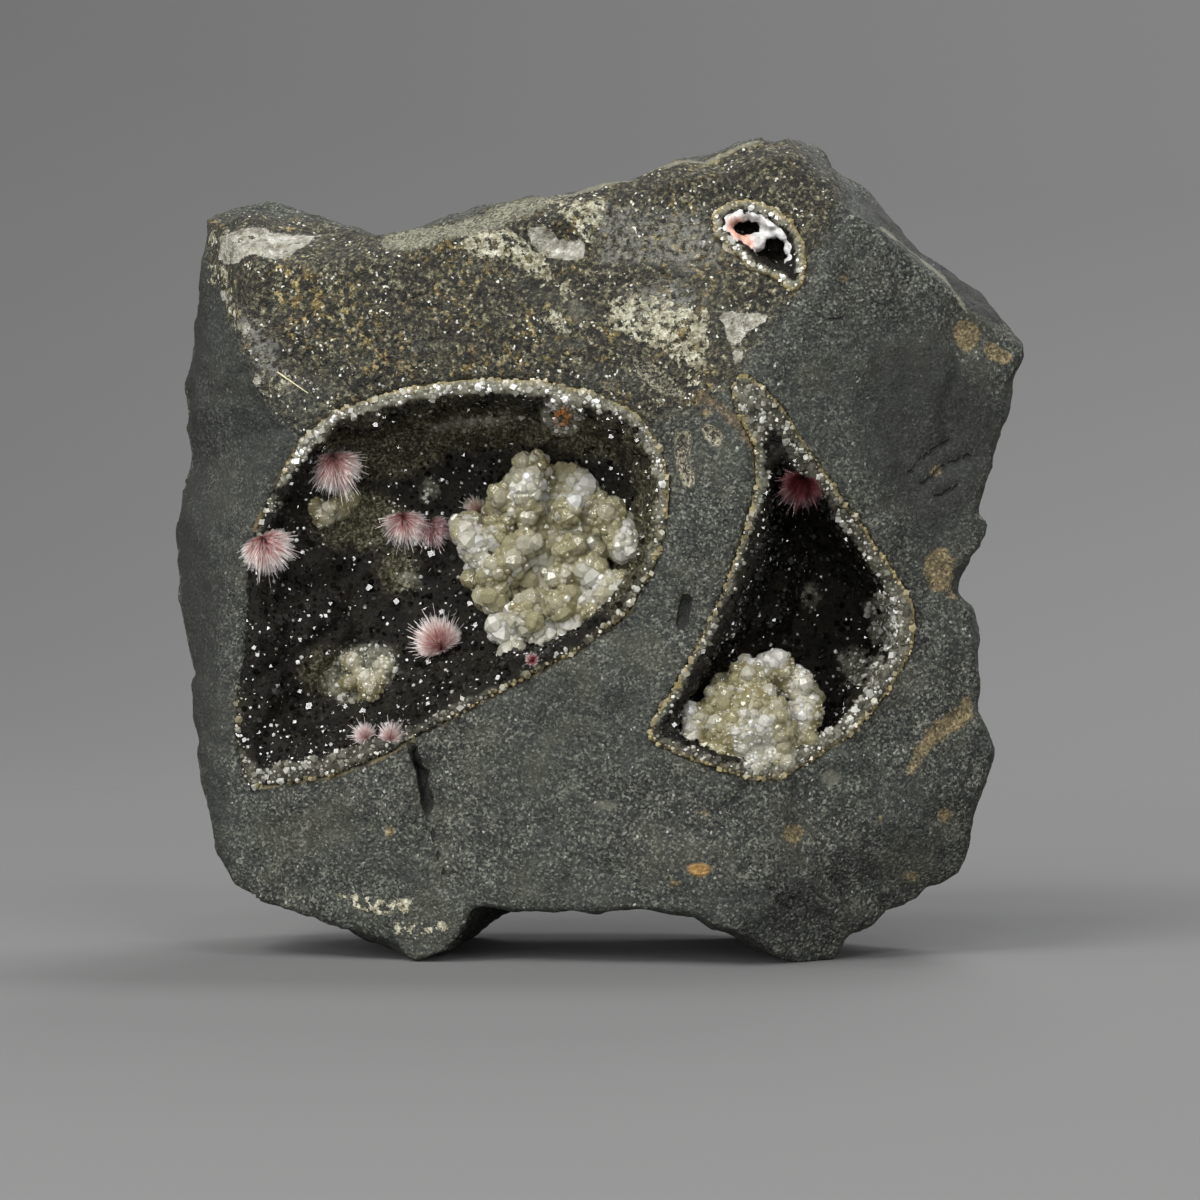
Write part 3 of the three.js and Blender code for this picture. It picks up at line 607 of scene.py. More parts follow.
# %% Stains and crusts on the rock
def with_stains(f, colour, felt, mottle, edge):
    """The edges, stains and filled bubbles over the rock's colour, with painted shade on the bevel at the top right.
    Returns it with the amber spot.
    """
    haze = (f.stored("haze") + edge * 1.5).eased(-1.2, 1.2) * f.lumps(0.8, 3, 0.75, 9.0).eased(0.41, 0.61)
    colour = f.mixed(haze * 0.65, colour, (0.19, 0.19, 0.17))
    bevel = (f.stored("bevel") + edge * 0.5).eased(-0.3, 0.3)
    bevel_colour = f.ramp(
        felt,
        (0.2, (0.04, 0.04, 0.028)),
        (0.45, (0.12, 0.12, 0.085)),
        (0.8, (0.24, 0.235, 0.17)),
    )
    colour = f.mixed(bevel * 0.9, colour, bevel_colour)
    # Painted shade: the bevel at the top right is drawn near black, as the shade on that facet.
    colour = f.mixed(f.stored("top_bevel").eased(0.0, 0.4) * 0.75, colour, (0.008, 0.008, 0.0075))
    pale_edge = (0.42 - f.stored("pale_edge") + edge * 0.3).eased(0.0, 0.3)
    colour = f.mixed(pale_edge * 0.6, colour, (0.2, 0.195, 0.14))
    stain = (1.1 - f.stored("stain") + edge * 0.6).eased(0.0, 1.0)
    stain_colour = f.ramp(felt, (0.2, (0.02, 0.013, 0.007)), (0.8, (0.14, 0.095, 0.045)))
    colour = f.mixed(stain * 0.7, colour, stain_colour)
    halo = (0.38 - f.stored("rim") + edge * 0.22).eased(0.0, 0.35) * f.lumps(7, 2, 0.5, 14.0).eased(0.38, 0.55)
    colour = f.mixed(halo * 0.7, colour, (0.17, 0.13, 0.06))

    tan = (f.stored("tan_spots") + edge * 0.8).eased(-0.1, 0.5)
    rust = f.lumps(1.5, 3, 0.75, 5.0)
    tan_colour = f.ramp(
        felt * 0.5 + rust * 0.55,
        (0.3, (0.03, 0.024, 0.012)),
        (0.55, (0.115, 0.088, 0.042)),
        (0.75, (0.25, 0.2, 0.11)),
    )
    colour = f.mixed(tan * 0.9, colour, tan_colour)
    amber = (f.stored("amber_spot") + edge * 0.3).eased(-0.1, 0.4)
    colour = f.mixed(amber, colour, f.ramp(mottle, (0.3, (0.1, 0.05, 0.01)), (0.7, (0.34, 0.2, 0.055))))
    grey = (f.stored("grey_spots") + edge * 0.5).eased(-0.1, 0.5)
    colour = f.mixed(grey * 0.6, colour, (0.09, 0.088, 0.066))
    return colour, amber


def with_crusts(f, colour, felt, edge, torn):
    """The tiny pockets, paler at the rim and darkened towards the middle with painted shade, and the yellowish and
    white crusts over the rock's colour.
    """
    # Tiny pockets: a pale crust at the rim, and painted shade darkening towards the middle.
    tiny = f.stored("tiny_pockets") + edge * 0.3
    tiny_lining_and_shade = f.ramp(
        felt + tiny * 0.3,
        (0.2, (0.3, 0.28, 0.2)),
        (0.55, (0.12, 0.11, 0.08)),
        (0.8, (0.02, 0.019, 0.015)),
    )
    colour = f.mixed(tiny.eased(-0.2, 0.1), colour, tiny_lining_and_shade)
    holes = f.lumps(1.2, 3, 0.7, 12.0)
    yellow = (f.stored("yellow_crust") + torn * 0.8 + edge * 0.4).eased(-0.1, 0.12) * holes.eased(0.46, 0.49)
    yellow_colour = f.ramp(
        f.lumps(0.8, 3, 0.7, 10.0),
        (0.3, (0.07, 0.06, 0.034)),
        (0.46, (0.21, 0.195, 0.13)),
        (0.58, (0.38, 0.37, 0.28)),
        (0.72, (0.6, 0.59, 0.5)),
    )
    colour = f.mixed(yellow * 0.92, colour, yellow_colour)
    white = (f.stored("white_crust") + torn * 0.22 + edge * 0.3).eased(-0.1, 0.1) * holes.eased(0.34, 0.38)
    white_colour = f.ramp(
        f.lumps(1.2, 3, 0.65, 11.0),
        (0.3, (0.09, 0.075, 0.05)),
        (0.44, (0.21, 0.2, 0.16)),
        (0.6, (0.34, 0.33, 0.28)),
        (0.76, (0.58, 0.58, 0.54)),
    )
    colour = f.mixed(white * 0.95, colour, white_colour)
    return colour, yellow, white, holes


# %% Basalt finish
def basalt():
    f = Finish("basalt")
    grains = f.grains(0.28)
    grain, small, flecks = [f.node("ShaderNodeSeparateColor", inputs=[grains], output=i) for i in range(3)]
    mottle = f.lumps(2.6, 3, 0.6, 1.0)
    edge = (f.lumps(1.3, 3, 0.7, 3.0) - 0.5) * 2.6
    torn = (f.lumps(2.6, 4, 0.72, 23.0) - 0.5) * 6.0

    fibre = f.lumps(0.42, 3, 0.8, 31.0)
    felt = grain * 0.6 + small * 0.25 + (mottle - 0.5) * 0.5 + (fibre - 0.5) * 1.3 + 0.07
    fresh, bright = fresh_rock(f, felt, flecks)
    brown = weathered_rock(f, fresh, small, flecks)
    colour = f.mixed((f.stored("weathered") + edge * 1.6).eased(-0.6, 1.4), fresh, brown)
    # Painted shade: the left side of the block is drawn darker, as if in shade.
    left_side = (f.stored("left_side") + edge * 0.4).eased(-0.3, 0.6)
    colour = f.mixed(left_side * 0.45, colour, (0.014, 0.015, 0.013))
    # Painted shade: the zones along the left edge and on the right beside the right pocket are darkened.
    dark_zones = (f.stored("dark_zones") + torn * 0.8).eased(-2.5, 3.5)
    colour = f.mixed(dark_zones * 0.75, colour, (0.0095, 0.0105, 0.0085))
    colour, amber = with_stains(f, colour, felt, mottle, edge)
    colour, yellow, white, holes = with_crusts(f, colour, felt, edge, torn)
    # Painted shade: the cracks, the slot, the wedge and the scratches are drawn near black, as the shade inside
    # them.
    crack = (0.34 - f.stored("cracks") + edge * 0.12).eased(0.0, 0.2)
    colour = f.mixed(crack * 0.85, colour, (0.004, 0.004, 0.004))

    pitted = f.lumps(1.1, 3, 0.75, 21.0) * (0.5 + (f.stored("weathered") + edge).eased(-0.6, 1.4) * 0.9)
    raised = yellow * (0.5 + holes * 0.5) + white * (0.7 + holes * 0.5) - crack * 1.4 + amber * 0.5
    normal = f.bump(pitted * 0.8 + fibre * 0.15 + raised * 0.3, 1.0)
    roughness = 0.82 - bright * 0.5 - amber * 0.55 - white * 0.25
    return f.close(colour, Roughness=roughness, Normal=normal, Specular_IOR_Level=0.4)


rock.data.materials.append(basalt())
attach(rock, "root")
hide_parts("basalt_matrix")

# %% [markdown]
# ## Crystals
#
# Analcime grows as trapezohedra with 24 kite-shaped faces, and the tiny crystals of the druse look like blunt
# blocks. A few forms are made once. Geometry Nodes scatter them over the crust, turned and sized at random, which
# is how thousands of crystals can cover a pocket. Small crystals get few faces each.


# %% Crystal forms
def hull_form(name, points):
    form = bmesh.new()
    for point in points:
        form.verts.new(point)
    result = bmesh.ops.convex_hull(form, input=form.verts)
    loose = [item for item in result["geom_interior"] if isinstance(item, bmesh.types.BMVert)]
    bmesh.ops.delete(form, geom=loose, context="VERTS")
    bmesh.ops.recalc_face_normals(form, faces=form.faces)
    mesh = bpy.data.meshes.new(name)
    form.to_mesh(mesh)
    form.free()
    return bpy.data.objects.new(name, mesh)


STEPS = (-1, 0, 1)
REACH = {1: 1.0, 2: 2 / 3, 3: 1 / 2}
trapezohedron = [
    Vector((a, b, c)) * REACH[abs(a) + abs(b) + abs(c)]
    for a in STEPS for b in STEPS for c in STEPS if (a, b, c) != (0, 0, 0)
]
block = [Vector((a, b + 0.25 * a, c + 0.15 * b)) * 0.62 for a in (-1, 1) for b in (-1, 1) for c in (-1, 1)]
blunt_block = [
    Vector(p) * 0.72 for a in (-1, 1) for b in (-1, 1) for p in ((a, b, 0), (a, 0, b), (0, a, b))
]
point_block = [Vector(p) for p in ((0, 0, 1), (0, 0, -0.8))] + [
    Vector((0.62 * math.cos(k * math.pi / 3), 0.62 * math.sin(k * math.pi / 3), h))
    for k in range(6) for h in (-0.35, 0.35)
]


def family(name, forms):
    """A collection of crystal forms, which isn't part of the scene."""
    collection = bpy.data.collections.new(name)
    for i, points in enumerate(forms):
        collection.objects.link(hull_form(f"{name}_{i}", points))
    return collection


SMALL_FORMS = family("small_crystals", [block, blunt_block, point_block])
LARGE_FORMS = family("large_crystals", [trapezohedron])


# %% Node trees
def open_tree(name, *asked):
    """A tree with named inputs. Returns its sheet and a term for each input."""
    tree = bpy.data.node_groups.new(name, "GeometryNodeTree")
    for title, kind in asked:
        tree.interface.new_socket(title, in_out="INPUT", socket_type="NodeSocket" + kind)
    tree.interface.new_socket("Result", in_out="OUTPUT", socket_type="NodeSocketGeometry")
    g = Sheet(tree)
    given = tree.nodes.new("NodeGroupInput")
    return g, {socket.name: Term(g, socket) for socket in given.outputs if socket.name}


def close_tree(g, instances, material):
    """Makes the instances real, gives them their material and ends the tree."""
    real = g.node("GeometryNodeRealizeInstances", inputs=[instances])
    done = g.node("GeometryNodeSetMaterial", inputs={"Geometry": real, "Material": material})
    g.node("NodeGroupOutput", inputs=[done])
    return g.tree


def with_value(g, geometry, name, value, kind="FLOAT"):
    settings = {"data_type": kind, "domain": "POINT"}
    return g.node("GeometryNodeStoreNamedAttribute", settings, {"Geometry": geometry, "Name": name, "Value": value})


def value_of(g, name, kind="FLOAT"):
    return g.node("GeometryNodeInputNamedAttribute", {"data_type": kind}, {"Name": name})


def random_value(g, seed):
    """A random number from 0 to 1 for each point."""
    return g.node("FunctionNodeRandomValue", {"data_type": "FLOAT"}, {2: 0.0, 3: 1.0, "Seed": seed}, output=1)


def random_vector(g, low, high, seed):
    inputs = {0: (low, low, low), 1: (high, high, high), "Seed": seed}
    return g.node("FunctionNodeRandomValue", {"data_type": "FLOAT_VECTOR"}, inputs)


# %% Scattering tree
FULL_TURN = 6.28
FEW_LARGE = 2.2


def scatter_tree():
    """Scatters crystals over a mesh where its stored `growth` allows. Each crystal stores a random tone."""
    g, asked = open_tree(
        "scatter_crystals",
        ("Crust", "Geometry"), ("Forms", "Collection"), ("Spacing", "Float"), ("Density", "Float"),
        ("Smallest", "Float"), ("Largest", "Float"), ("Sunk", "Float"), ("Seed", "Int"), ("Material", "Material"),
    )
    seed = asked["Seed"]
    spread = g.node(
        "GeometryNodeDistributePointsOnFaces",
        {"distribute_method": "POISSON"},
        {
            "Mesh": asked["Crust"],
            "Distance Min": asked["Spacing"],
            "Density Max": asked["Density"],
            "Density Factor": value_of(g, "growth"),
            "Seed": seed,
        },
    )
    normal = Term(g, spread.socket.node.outputs["Normal"])
    sink = g.node("ShaderNodeVectorMath", {"operation": "SCALE"}, {0: normal, "Scale": asked["Sunk"] * -1})
    sunk = g.node("GeometryNodeSetPosition", inputs={"Geometry": spread, "Offset": sink})
    toned = with_value(g, sunk, "tone", random_value(g, seed + 1))
    forms = g.node(
        "GeometryNodeCollectionInfo",
        inputs={"Collection": asked["Forms"], "Separate Children": True, "Reset Children": True},
    )
    turn = random_vector(g, 0, FULL_TURN, seed + 2)
    size = asked["Smallest"] + (asked["Largest"] - asked["Smallest"]) * random_value(g, seed + 3) ** FEW_LARGE
    placed = g.node(
        "GeometryNodeInstanceOnPoints",
        inputs={"Points": toned, "Instance": forms, "Pick Instance": True, "Rotation": turn, "Scale": size},
    )
    return close_tree(g, placed, asked["Material"])


def grown(tree, name, mesh, **values):
    """A plain object with what a tree grows on a mesh."""
    obj = new_object(name, mesh)
    modifier = obj.modifiers.new("growth", "NODES")
    modifier.node_group = tree
    for item in tree.interface.items_tree:
        key = item.name.lower()
        if item.in_out == "INPUT" and key in values:
            modifier[item.identifier] = values[key]
    obj.data = evaluated(obj)
    print(name + ":", len(obj.data.polygons), "faces")
    return obj


SCATTER = scatter_tree()

# %% [markdown]
# ## The druses
#
# A crust of crystals lines each pocket. Deep inside it looks almost black, because the small crystals are clear and
# the rock behind them is dark: only their faces flash. At the rim the crust is broken through and shows pale, with
# a yellowish line against the rock. So each crust has its base, clear crystals on its wall, milky crystals among
# them whose white ones are painted glints for those flashing faces, and paler, coarser crystals along the rim.


# %% Crust finishes
CRYSTAL_IOR = 1.49


def crust_base():
    f = Finish("druse_crust")
    shade = f.lumps(1.0, 4, 0.65)
    pale = (f.stored("pale") + (shade - 0.5) * 0.5).eased(0.1, 0.9)
    dark = f.ramp(f.lumps(2.5, 4, 0.6), (0.35, (0.002, 0.002, 0.0015)), (0.7, (0.012, 0.0105, 0.006)))
    sugar = f.lumps(0.42, 3, 0.75, 41.0)
    olive = f.ramp(
        sugar,
        (0.36, (0.009, 0.008, 0.004)),
        (0.5, (0.045, 0.04, 0.021)),
        (0.64, (0.2, 0.19, 0.13)),
    )
    dark = f.mixed((f.stored("olive") + (shade - 0.5) * 3).eased(-1.2, 1.4) * 0.8, dark, olive)
    light = f.ramp(shade, (0.3, (0.04, 0.038, 0.026)), (0.7, (0.24, 0.235, 0.18)))
    colour = f.mixed(pale, dark, light)
    edge = (0.6 - f.stored("edge") + (shade - 0.5) * 0.7).eased(0.0, 0.35) * f.stored("pale").eased(0.1, 0.4)
    colour = f.mixed(edge * 0.85, colour, (0.27, 0.215, 0.09))
    normal = f.bump(f.lumps(0.5, 5, 0.7), 0.3)
    return f.close(colour, Roughness=0.5, Normal=normal, Specular_IOR_Level=0.12)


def clear_crystal():
    f = Finish("clear_crystal")
    tone = f.stored("tone")
    colour = f.ramp(tone, (0.0, (0.03, 0.03, 0.022)), (0.7, (0.16, 0.15, 0.11)), (1.0, (0.75, 0.75, 0.7)))
    colour = f.mixed((f.stored("olive") + (tone - 0.5) * 3).eased(-1.2, 1.4) * 0.7, colour, (0.62, 0.57, 0.38))
    return f.close(colour, Roughness=0.04, IOR=CRYSTAL_IOR, Transmission_Weight=0.97)


def milky_crystal(name, ramp, clearness):
    """Crystals whose paleness follows their own tone and how pale the crust is where they sit."""
    f = Finish(name)
    white = (f.stored("pale") * 0.55 + f.stored("tone") * 0.7 - 0.08).clamped()
    colour = f.ramp(white, *ramp)
    colour = f.mixed(f.stored("olive").eased(-0.5, 0.8) * 0.45, colour, (0.2, 0.18, 0.1))
    edge = (0.8 - f.stored("edge") + (f.lumps(1.5) - 0.5) * 0.8).eased(0.0, 0.45)
    colour = f.mixed(edge * f.stored("pale").eased(0.1, 0.4) * 0.8, colour, (0.36, 0.29, 0.13))
    rust = (f.stored("rust") + (f.lumps(1.0) - 0.5) * 1.4).eased(0.0, 0.5)
    colour = f.mixed(rust * 0.9, colour, (0.55, 0.2, 0.035))
    return f.close(colour, Roughness=0.16, IOR=CRYSTAL_IOR, Transmission_Weight=clearness)


RIM_STOPS = [
    (0.0, (0.02, 0.02, 0.014)),
    (0.3, (0.085, 0.083, 0.062)),
    (0.6, (0.25, 0.245, 0.2)),
    (0.85, (0.58, 0.58, 0.54)),
    (1.0, (0.92, 0.92, 0.9)),
]
# Milky crystals inside a pocket, dark to grey, and white ones that are painted glints for the faces that flash.
DRUSE_AND_GLINT_STOPS = [
    (0.0, (0.008, 0.008, 0.006)),
    (0.3, (0.03, 0.029, 0.02)),
    (0.42, (0.12, 0.118, 0.095)),
    (0.56, (0.75, 0.76, 0.74)),
]
CRUST_BASE = crust_base()
CLEAR = clear_crystal()
RIM = milky_crystal("rim_crystal", RIM_STOPS, 0.3)
# Inside a pocket the milky crystals are opaque, and their white ones are painted glints.
MILKY_AND_GLINTS = milky_crystal("milky_crystal", DRUSE_AND_GLINT_STOPS, 0.0)

# %% Growth on a crust
def search_tree(mesh):
    return BVHTree.FromPolygons([v.co for v in mesh.vertices], [p.vertices for p in mesh.polygons])


rock_tree = search_tree(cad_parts["basalt_matrix"].data)


def behind_front(places):
    """How deep each corner lies behind the front, in millimetres, along the line of sight."""
    deep = np.zeros(len(places))
    for i, place in enumerate(places):
        point = Vector(place) / MM + ORIGIN
        farther = 1 + point.y / EYE_DISTANCE
        x, z = point.x / farther, EYE_HEIGHT + (point.z - EYE_HEIGHT) / farther
        front = on_front(x, z)
        deep[i] = (place[1] - front.y) / MM
    return deep


RUST_SPOT = [oval(-4.7, 69.8, 1.4, 1.1)]


def druse_crust(name, node, rim, voxel, band, pale_spots=(), olive_spots=()):
    """The rebuilt crust of one pocket, with what its finishes read stored on it.

    `band` says at some places [x, z] along the rim how pale its band is, from 0 to 1, and how wide in millimetres.
    It returns the crust, how much grows at each corner, and how far that is rim crystals.
    """
    obj = remeshed(name, solid_copy(node), voxel)
    places, facing = corners_of(obj.data), normals_of(obj.data)
    from_rock = np.array([rock_tree.find_nearest(Vector(p))[3] for p in places]) / MM
    into = inside_of([rim], places)
    deep = behind_front(places)
    whiteness, width, total = np.zeros(len(places)), np.zeros(len(places)), np.zeros(len(places))
    for x, z, value, broad in band:
        spot = np.array(on_front(x, z))
        weight = 1 / (np.hypot(places[:, 0] - spot[0], places[:, 2] - spot[2]) / MM + 1.0) ** 4
        whiteness += weight * value
        width += weight * broad
        total += weight
    whiteness, width = whiteness / total, width / total
    wavy = 0.5 * rough(places, 1.8, 2, 6.1)
    at_rim = (1 - eased(deep + wavy, 0.6, 1.8)) * eased(-facing[:, 1], 0.0, 0.5)
    at_rim *= 1 - eased(into + wavy, width - 0.3, width + 0.3)
    spots, olive = inside_of(pale_spots, places), inside_of(olive_spots, places)
    rust = inside_of(RUST_SPOT, places)
    pale = np.maximum(at_rim * whiteness, 0.6 * eased(spots + 2 * wavy, -0.8, 1.2))
    pale = np.maximum(pale, eased(rust + wavy, -1.6, -0.8))
    set_values(obj.data, "pale", pale)
    set_values(obj.data, "edge", into)
    set_values(obj.data, "olive", olive)
    set_values(obj.data, "rust", rust)
    outer = (1 - eased(into, 0.3, 1.0)) * (1 - eased(deep, 1.0, 2.5))
    height = 0.2 + 0.16 * rough(places, 1.6, 2, 3.3) + 0.25 * outer
    height += 0.15 * at_rim * (1 + rough(places, 1.1, 2, 8.3))
    set_corners(obj.data, places + facing * height[:, None] * MM)
    growth = np.maximum(eased(from_rock, 0.22, 0.42), at_rim)
    banded = np.maximum(eased(at_rim, 0.2, 0.5), 0.9 * eased(np.maximum(spots, rust + 1), -0.5, 0.5))
    return obj, growth, banded


DRUSE_DENSITY = 9e6
DRUSE_SUNK = 0.1


def dress(obj, node, growth, banded, seed, clear_size=(0.22, 0.66), rim_size=(0.2, 0.62)):
    """Clear crystals inside a pocket, with a few milky ones among them, the whitest of which are painted glints, and
    pale ones at its rim.
    """
    pieces = []
    at = corners_of(obj.data)
    # The milky crystals, whose white ones are painted glints, crowd in places and towards the bottom of a pocket.
    crowded = 0.2 + 0.6 * eased(rough(at, 7, 2, 12.5), -0.15, 0.35) + 0.5 * eased(-at[:, 2] / MM, -48, -30)
    for kind, share, size, spacing, material in [
        ("crystals", growth * (1 - banded), clear_size, 0.75, CLEAR),
        ("milky_crystals", growth * (1 - banded) * crowded, (0.11, 0.36), 0.64, MILKY_AND_GLINTS),
        ("rim_crystals", growth * banded, rim_size, 0.46, RIM),
    ]:
        set_values(obj.data, "growth", np.clip(share, 0, 1))
        pieces.append(grown(
            SCATTER, f"{obj.name}_{kind}", obj.data.copy(), forms=SMALL_FORMS, spacing=spacing * MM,
            density=DRUSE_DENSITY, smallest=size[0] * MM, largest=size[1] * MM, sunk=DRUSE_SUNK * MM, seed=seed,
            material=material,
        ))
        seed += 10
    obj.data.materials.append(CRUST_BASE)
    for piece in [obj, *pieces]:
        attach(piece, "root")
    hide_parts(node)
    return pieces


# %% Left and right druse
LEFT_PALE = [
    oval(-30.4, 37, 5.2, 3.8, 20), oval(-24.4, 48.8, 1.6, 1.6), oval(-22, 60.6, 1.3, 1.6),
    oval(-16, 69.2, 7, 0.8, 6), oval(-4.6, 69.8, 2.8, 2),
]
LEFT_OLIVE = [
    [[2, 69], [5.5, 66], [7.6, 61], [7.4, 55], [5.6, 49.5], [1.6, 44], [0.6, 48], [4, 55], [4.6, 61], [3, 66]],
    [[-36, 67], [-20, 71.6], [-4, 71], [2, 69], [3, 64], [-6, 66], [-18, 66], [-26, 62], [-34, 62]],
    oval(-31, 56.5, 6, 4), oval(-33, 37, 5, 3), oval(-26, 50, 2.5, 3),
]
RIGHT_PALE = [
    oval(37, 43.5, 2.4, 4.5, 10), oval(33.5, 31.5, 3, 1.6, 45), oval(27.4, 47, 1.6, 1.6),
    oval(33.4, 37.6, 2.6, 2.6),
]
LEFT_BAND = [
    (-41.5, 59, 0.5, 1.3), (-37, 67, 0.8, 1.6), (-26, 72, 0.95, 1.5), (-10, 73.6, 1.0, 1.6), (0, 72, 0.7, 1.5),
    (6.5, 67, 0.6, 1.5), (8.5, 60, 0.55, 1.5), (7, 50, 0.45, 1.3), (0, 42, 0.35, 0.9), (-10, 36, 0.35, 0.9),
    (-20, 30.5, 0.4, 1.6), (-30, 26, 0.4, 2.6), (-38, 23.5, 0.38, 2.8), (-43.6, 23, 0.45, 2.2),
    (-45.4, 30, 0.3, 0.7), (-45.2, 40, 0.3, 0.5), (-44.8, 50, 0.4, 0.8),
]
RIGHT_BAND = [
    (17, 73, 0.45, 2.2), (22, 70.5, 0.36, 3.4), (26, 65, 0.32, 3.2), (31, 58, 0.34, 1.8), (37, 49, 0.42, 1.9),
    (39.2, 43, 0.48, 2.4), (36, 35, 0.42, 1.9), (30, 28.6, 0.48, 2.4), (22, 24, 0.6, 2), (12, 26.2, 0.42, 1.3),
    (6.6, 29.4, 0.45, 1.1), (13, 42, 0.5, 0.9), (18, 55, 0.55, 0.9), (19.5, 64, 0.55, 1.1), (17.5, 69, 0.5, 1.3),
]
SMALL_BAND = [(20, 91, 1.0, 0.9)]
left_crust, left_growth, left_band = druse_crust(
    "left_crust", "left_pocket_druse", LEFT_RIM, 0.5, LEFT_BAND, LEFT_PALE, LEFT_OLIVE
)
dress(left_crust, "left_pocket_druse", left_growth, left_band, 100)
right_crust, right_growth, right_band = druse_crust(
    "right_crust", "right_pocket_druse", RIGHT_RIM, 0.5, RIGHT_BAND, RIGHT_PALE
)
dress(right_crust, "right_pocket_druse", right_growth, right_band, 200)

# %% [markdown]
# ## The small pocket
#
# Its crust is thick, white and lumpy, and leaves only two dark holes with a pinkish lump between them. Overlapping
# balls along the rim, joined by a remesh, make such a bubbly crust.


# %% Small pocket
def balls(name, items, voxel):
    """Balls that run together. Each is a point on the front, a depth and a radius in millimetres."""
    form = bmesh.new()
    for x, z, deep, radius in items:
        place = Matrix.Translation(on_front(x, z, deep))
        bmesh.ops.create_icosphere(form, subdivisions=2, radius=radius * MM, matrix=place)
    mesh = bpy.data.meshes.new(name)
    form.to_mesh(mesh)
    form.free()
    return remeshed(name, mesh, voxel)


SMALL_LUMPS = [
    (15.7, 94.0, 1.3, 1.5), (17.4, 94.8, 1.2, 1.4), (19.6, 94.8, 1.1, 1.5), (21.6, 93.9, 1.2, 1.6),
    (23.5, 92.2, 1.3, 1.5), (24.3, 90.2, 1.3, 1.35), (24.3, 88.2, 1.2, 1.25), (23.8, 86.5, 1.0, 1.1),
    (22.5, 86.8, 1.1, 1.0), (20.5, 87.5, 1.2, 1.0), (18.6, 88.9, 1.3, 1.25), (16.6, 90.5, 1.3, 1.65),
    (15.3, 92.3, 1.3, 1.6), (21.2, 92.6, 1.9, 1.2), (19.5, 91.0, 1.7, 1.3), (17.6, 90.8, 2.0, 1.4),
]


def small_pocket_finish():
    f = Finish("white_crust_lining")
    shade = f.lumps(1.0, 4, 0.6)
    colour = f.ramp(shade, (0.3, (0.32, 0.31, 0.29)), (0.5, (0.6, 0.6, 0.58)), (0.75, (0.85, 0.86, 0.88)))
    pink = (f.stored("pink") + (f.lumps(1.2) - 0.5) * 1.6).eased(-0.5, 0.9)
    colour = f.mixed(pink * 0.85, colour, (0.72, 0.34, 0.22))
    edge = (0.5 - f.stored("edge") + (shade - 0.5) * 0.6).eased(0.0, 0.5)
    colour = f.mixed(edge * 0.7, colour, (0.4, 0.33, 0.2))
    normal = f.bump(f.lumps(0.5, 4, 0.6), 0.2)
    return f.close(colour, Roughness=0.22, IOR=CRYSTAL_IOR, Transmission_Weight=0.25, Normal=normal)


lining = balls("small_pocket_lining", SMALL_LUMPS, 0.3)
places = corners_of(lining.data)
places += normals_of(lining.data) * (0.4 * rough(places, 1.2, 3, 1.9))[:, None] * MM
front_y = np.array([on_front(20, z).y for z in places[:, 2] / MM])
places[:, 1] = np.maximum(places[:, 1], front_y - 0.25 * MM)
set_corners(lining.data, places)
set_values(lining.data, "pink", inside_of([oval(17.4, 92.6, 1.5, 1.9, 30), oval(18.6, 90.6, 0.9, 1.6)], places))
set_values(lining.data, "edge", inside_of([SMALL_RIM], places))
lining.data.materials.append(small_pocket_finish())
small_crust, small_growth, small_band = druse_crust(
    "small_crust", "small_pocket_druse", SMALL_RIM, 0.35, SMALL_BAND
)
dress(small_crust, "small_pocket_druse", small_growth, small_band, 300, (0.2, 0.4), (0.25, 0.5))
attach(lining, "root")

# %% [markdown]
# ## Analcime
#
# The two heaps are grown-together trapezohedra, straw-coloured in the middle and clear to white at the edge. The
# CAD mound gives the heap its form; its finish is darker than the crystals, as painted shade in the gaps between
# them. Crystals of two sizes are scattered over it, so that large ones stand out of a sugary ground. Each stores a
# random tone, by which the finish goes from straw to white.


# %% Analcime finish
ANALCIME_IOR = 1.487
HEAP_DENSITY = 4e6


def analcime(name, straw, white, clearness, share=0.6):
    f = Finish(name)
    shade = f.lumps(2.6, 3, 0.55, 4.0)
    pale = (f.stored("tone") * 0.9 + f.stored("white") * 0.7 + shade * 0.6 - share).clamped()
    colour = f.mixed(pale, straw, white)
    normal = f.bump(f.lumps(0.4, 3, 0.6, 8.0), 0.04)
    return f.close(colour, Roughness=0.07, IOR=ANALCIME_IOR, Transmission_Weight=clearness, Normal=normal)


# The mounds show only between the crystals: their darker straw and olive is painted shade in those gaps.
STRAW_MOUND_SHADE = analcime("analcime_mound", (0.14, 0.122, 0.06), (0.42, 0.41, 0.35), 0.0, 0.7)
STRAW_CRYSTALS = analcime("analcime_crystals", (0.5, 0.46, 0.28), (0.92, 0.92, 0.89), 0.68, 0.72)
OLIVE_MOUND_SHADE = analcime("analcime_olive_mound", (0.12, 0.105, 0.055), (0.3, 0.28, 0.2), 0.1)
OLIVE_CRYSTALS = analcime("analcime_olive_crystals", (0.3, 0.27, 0.15), (0.75, 0.73, 0.62), 0.6)


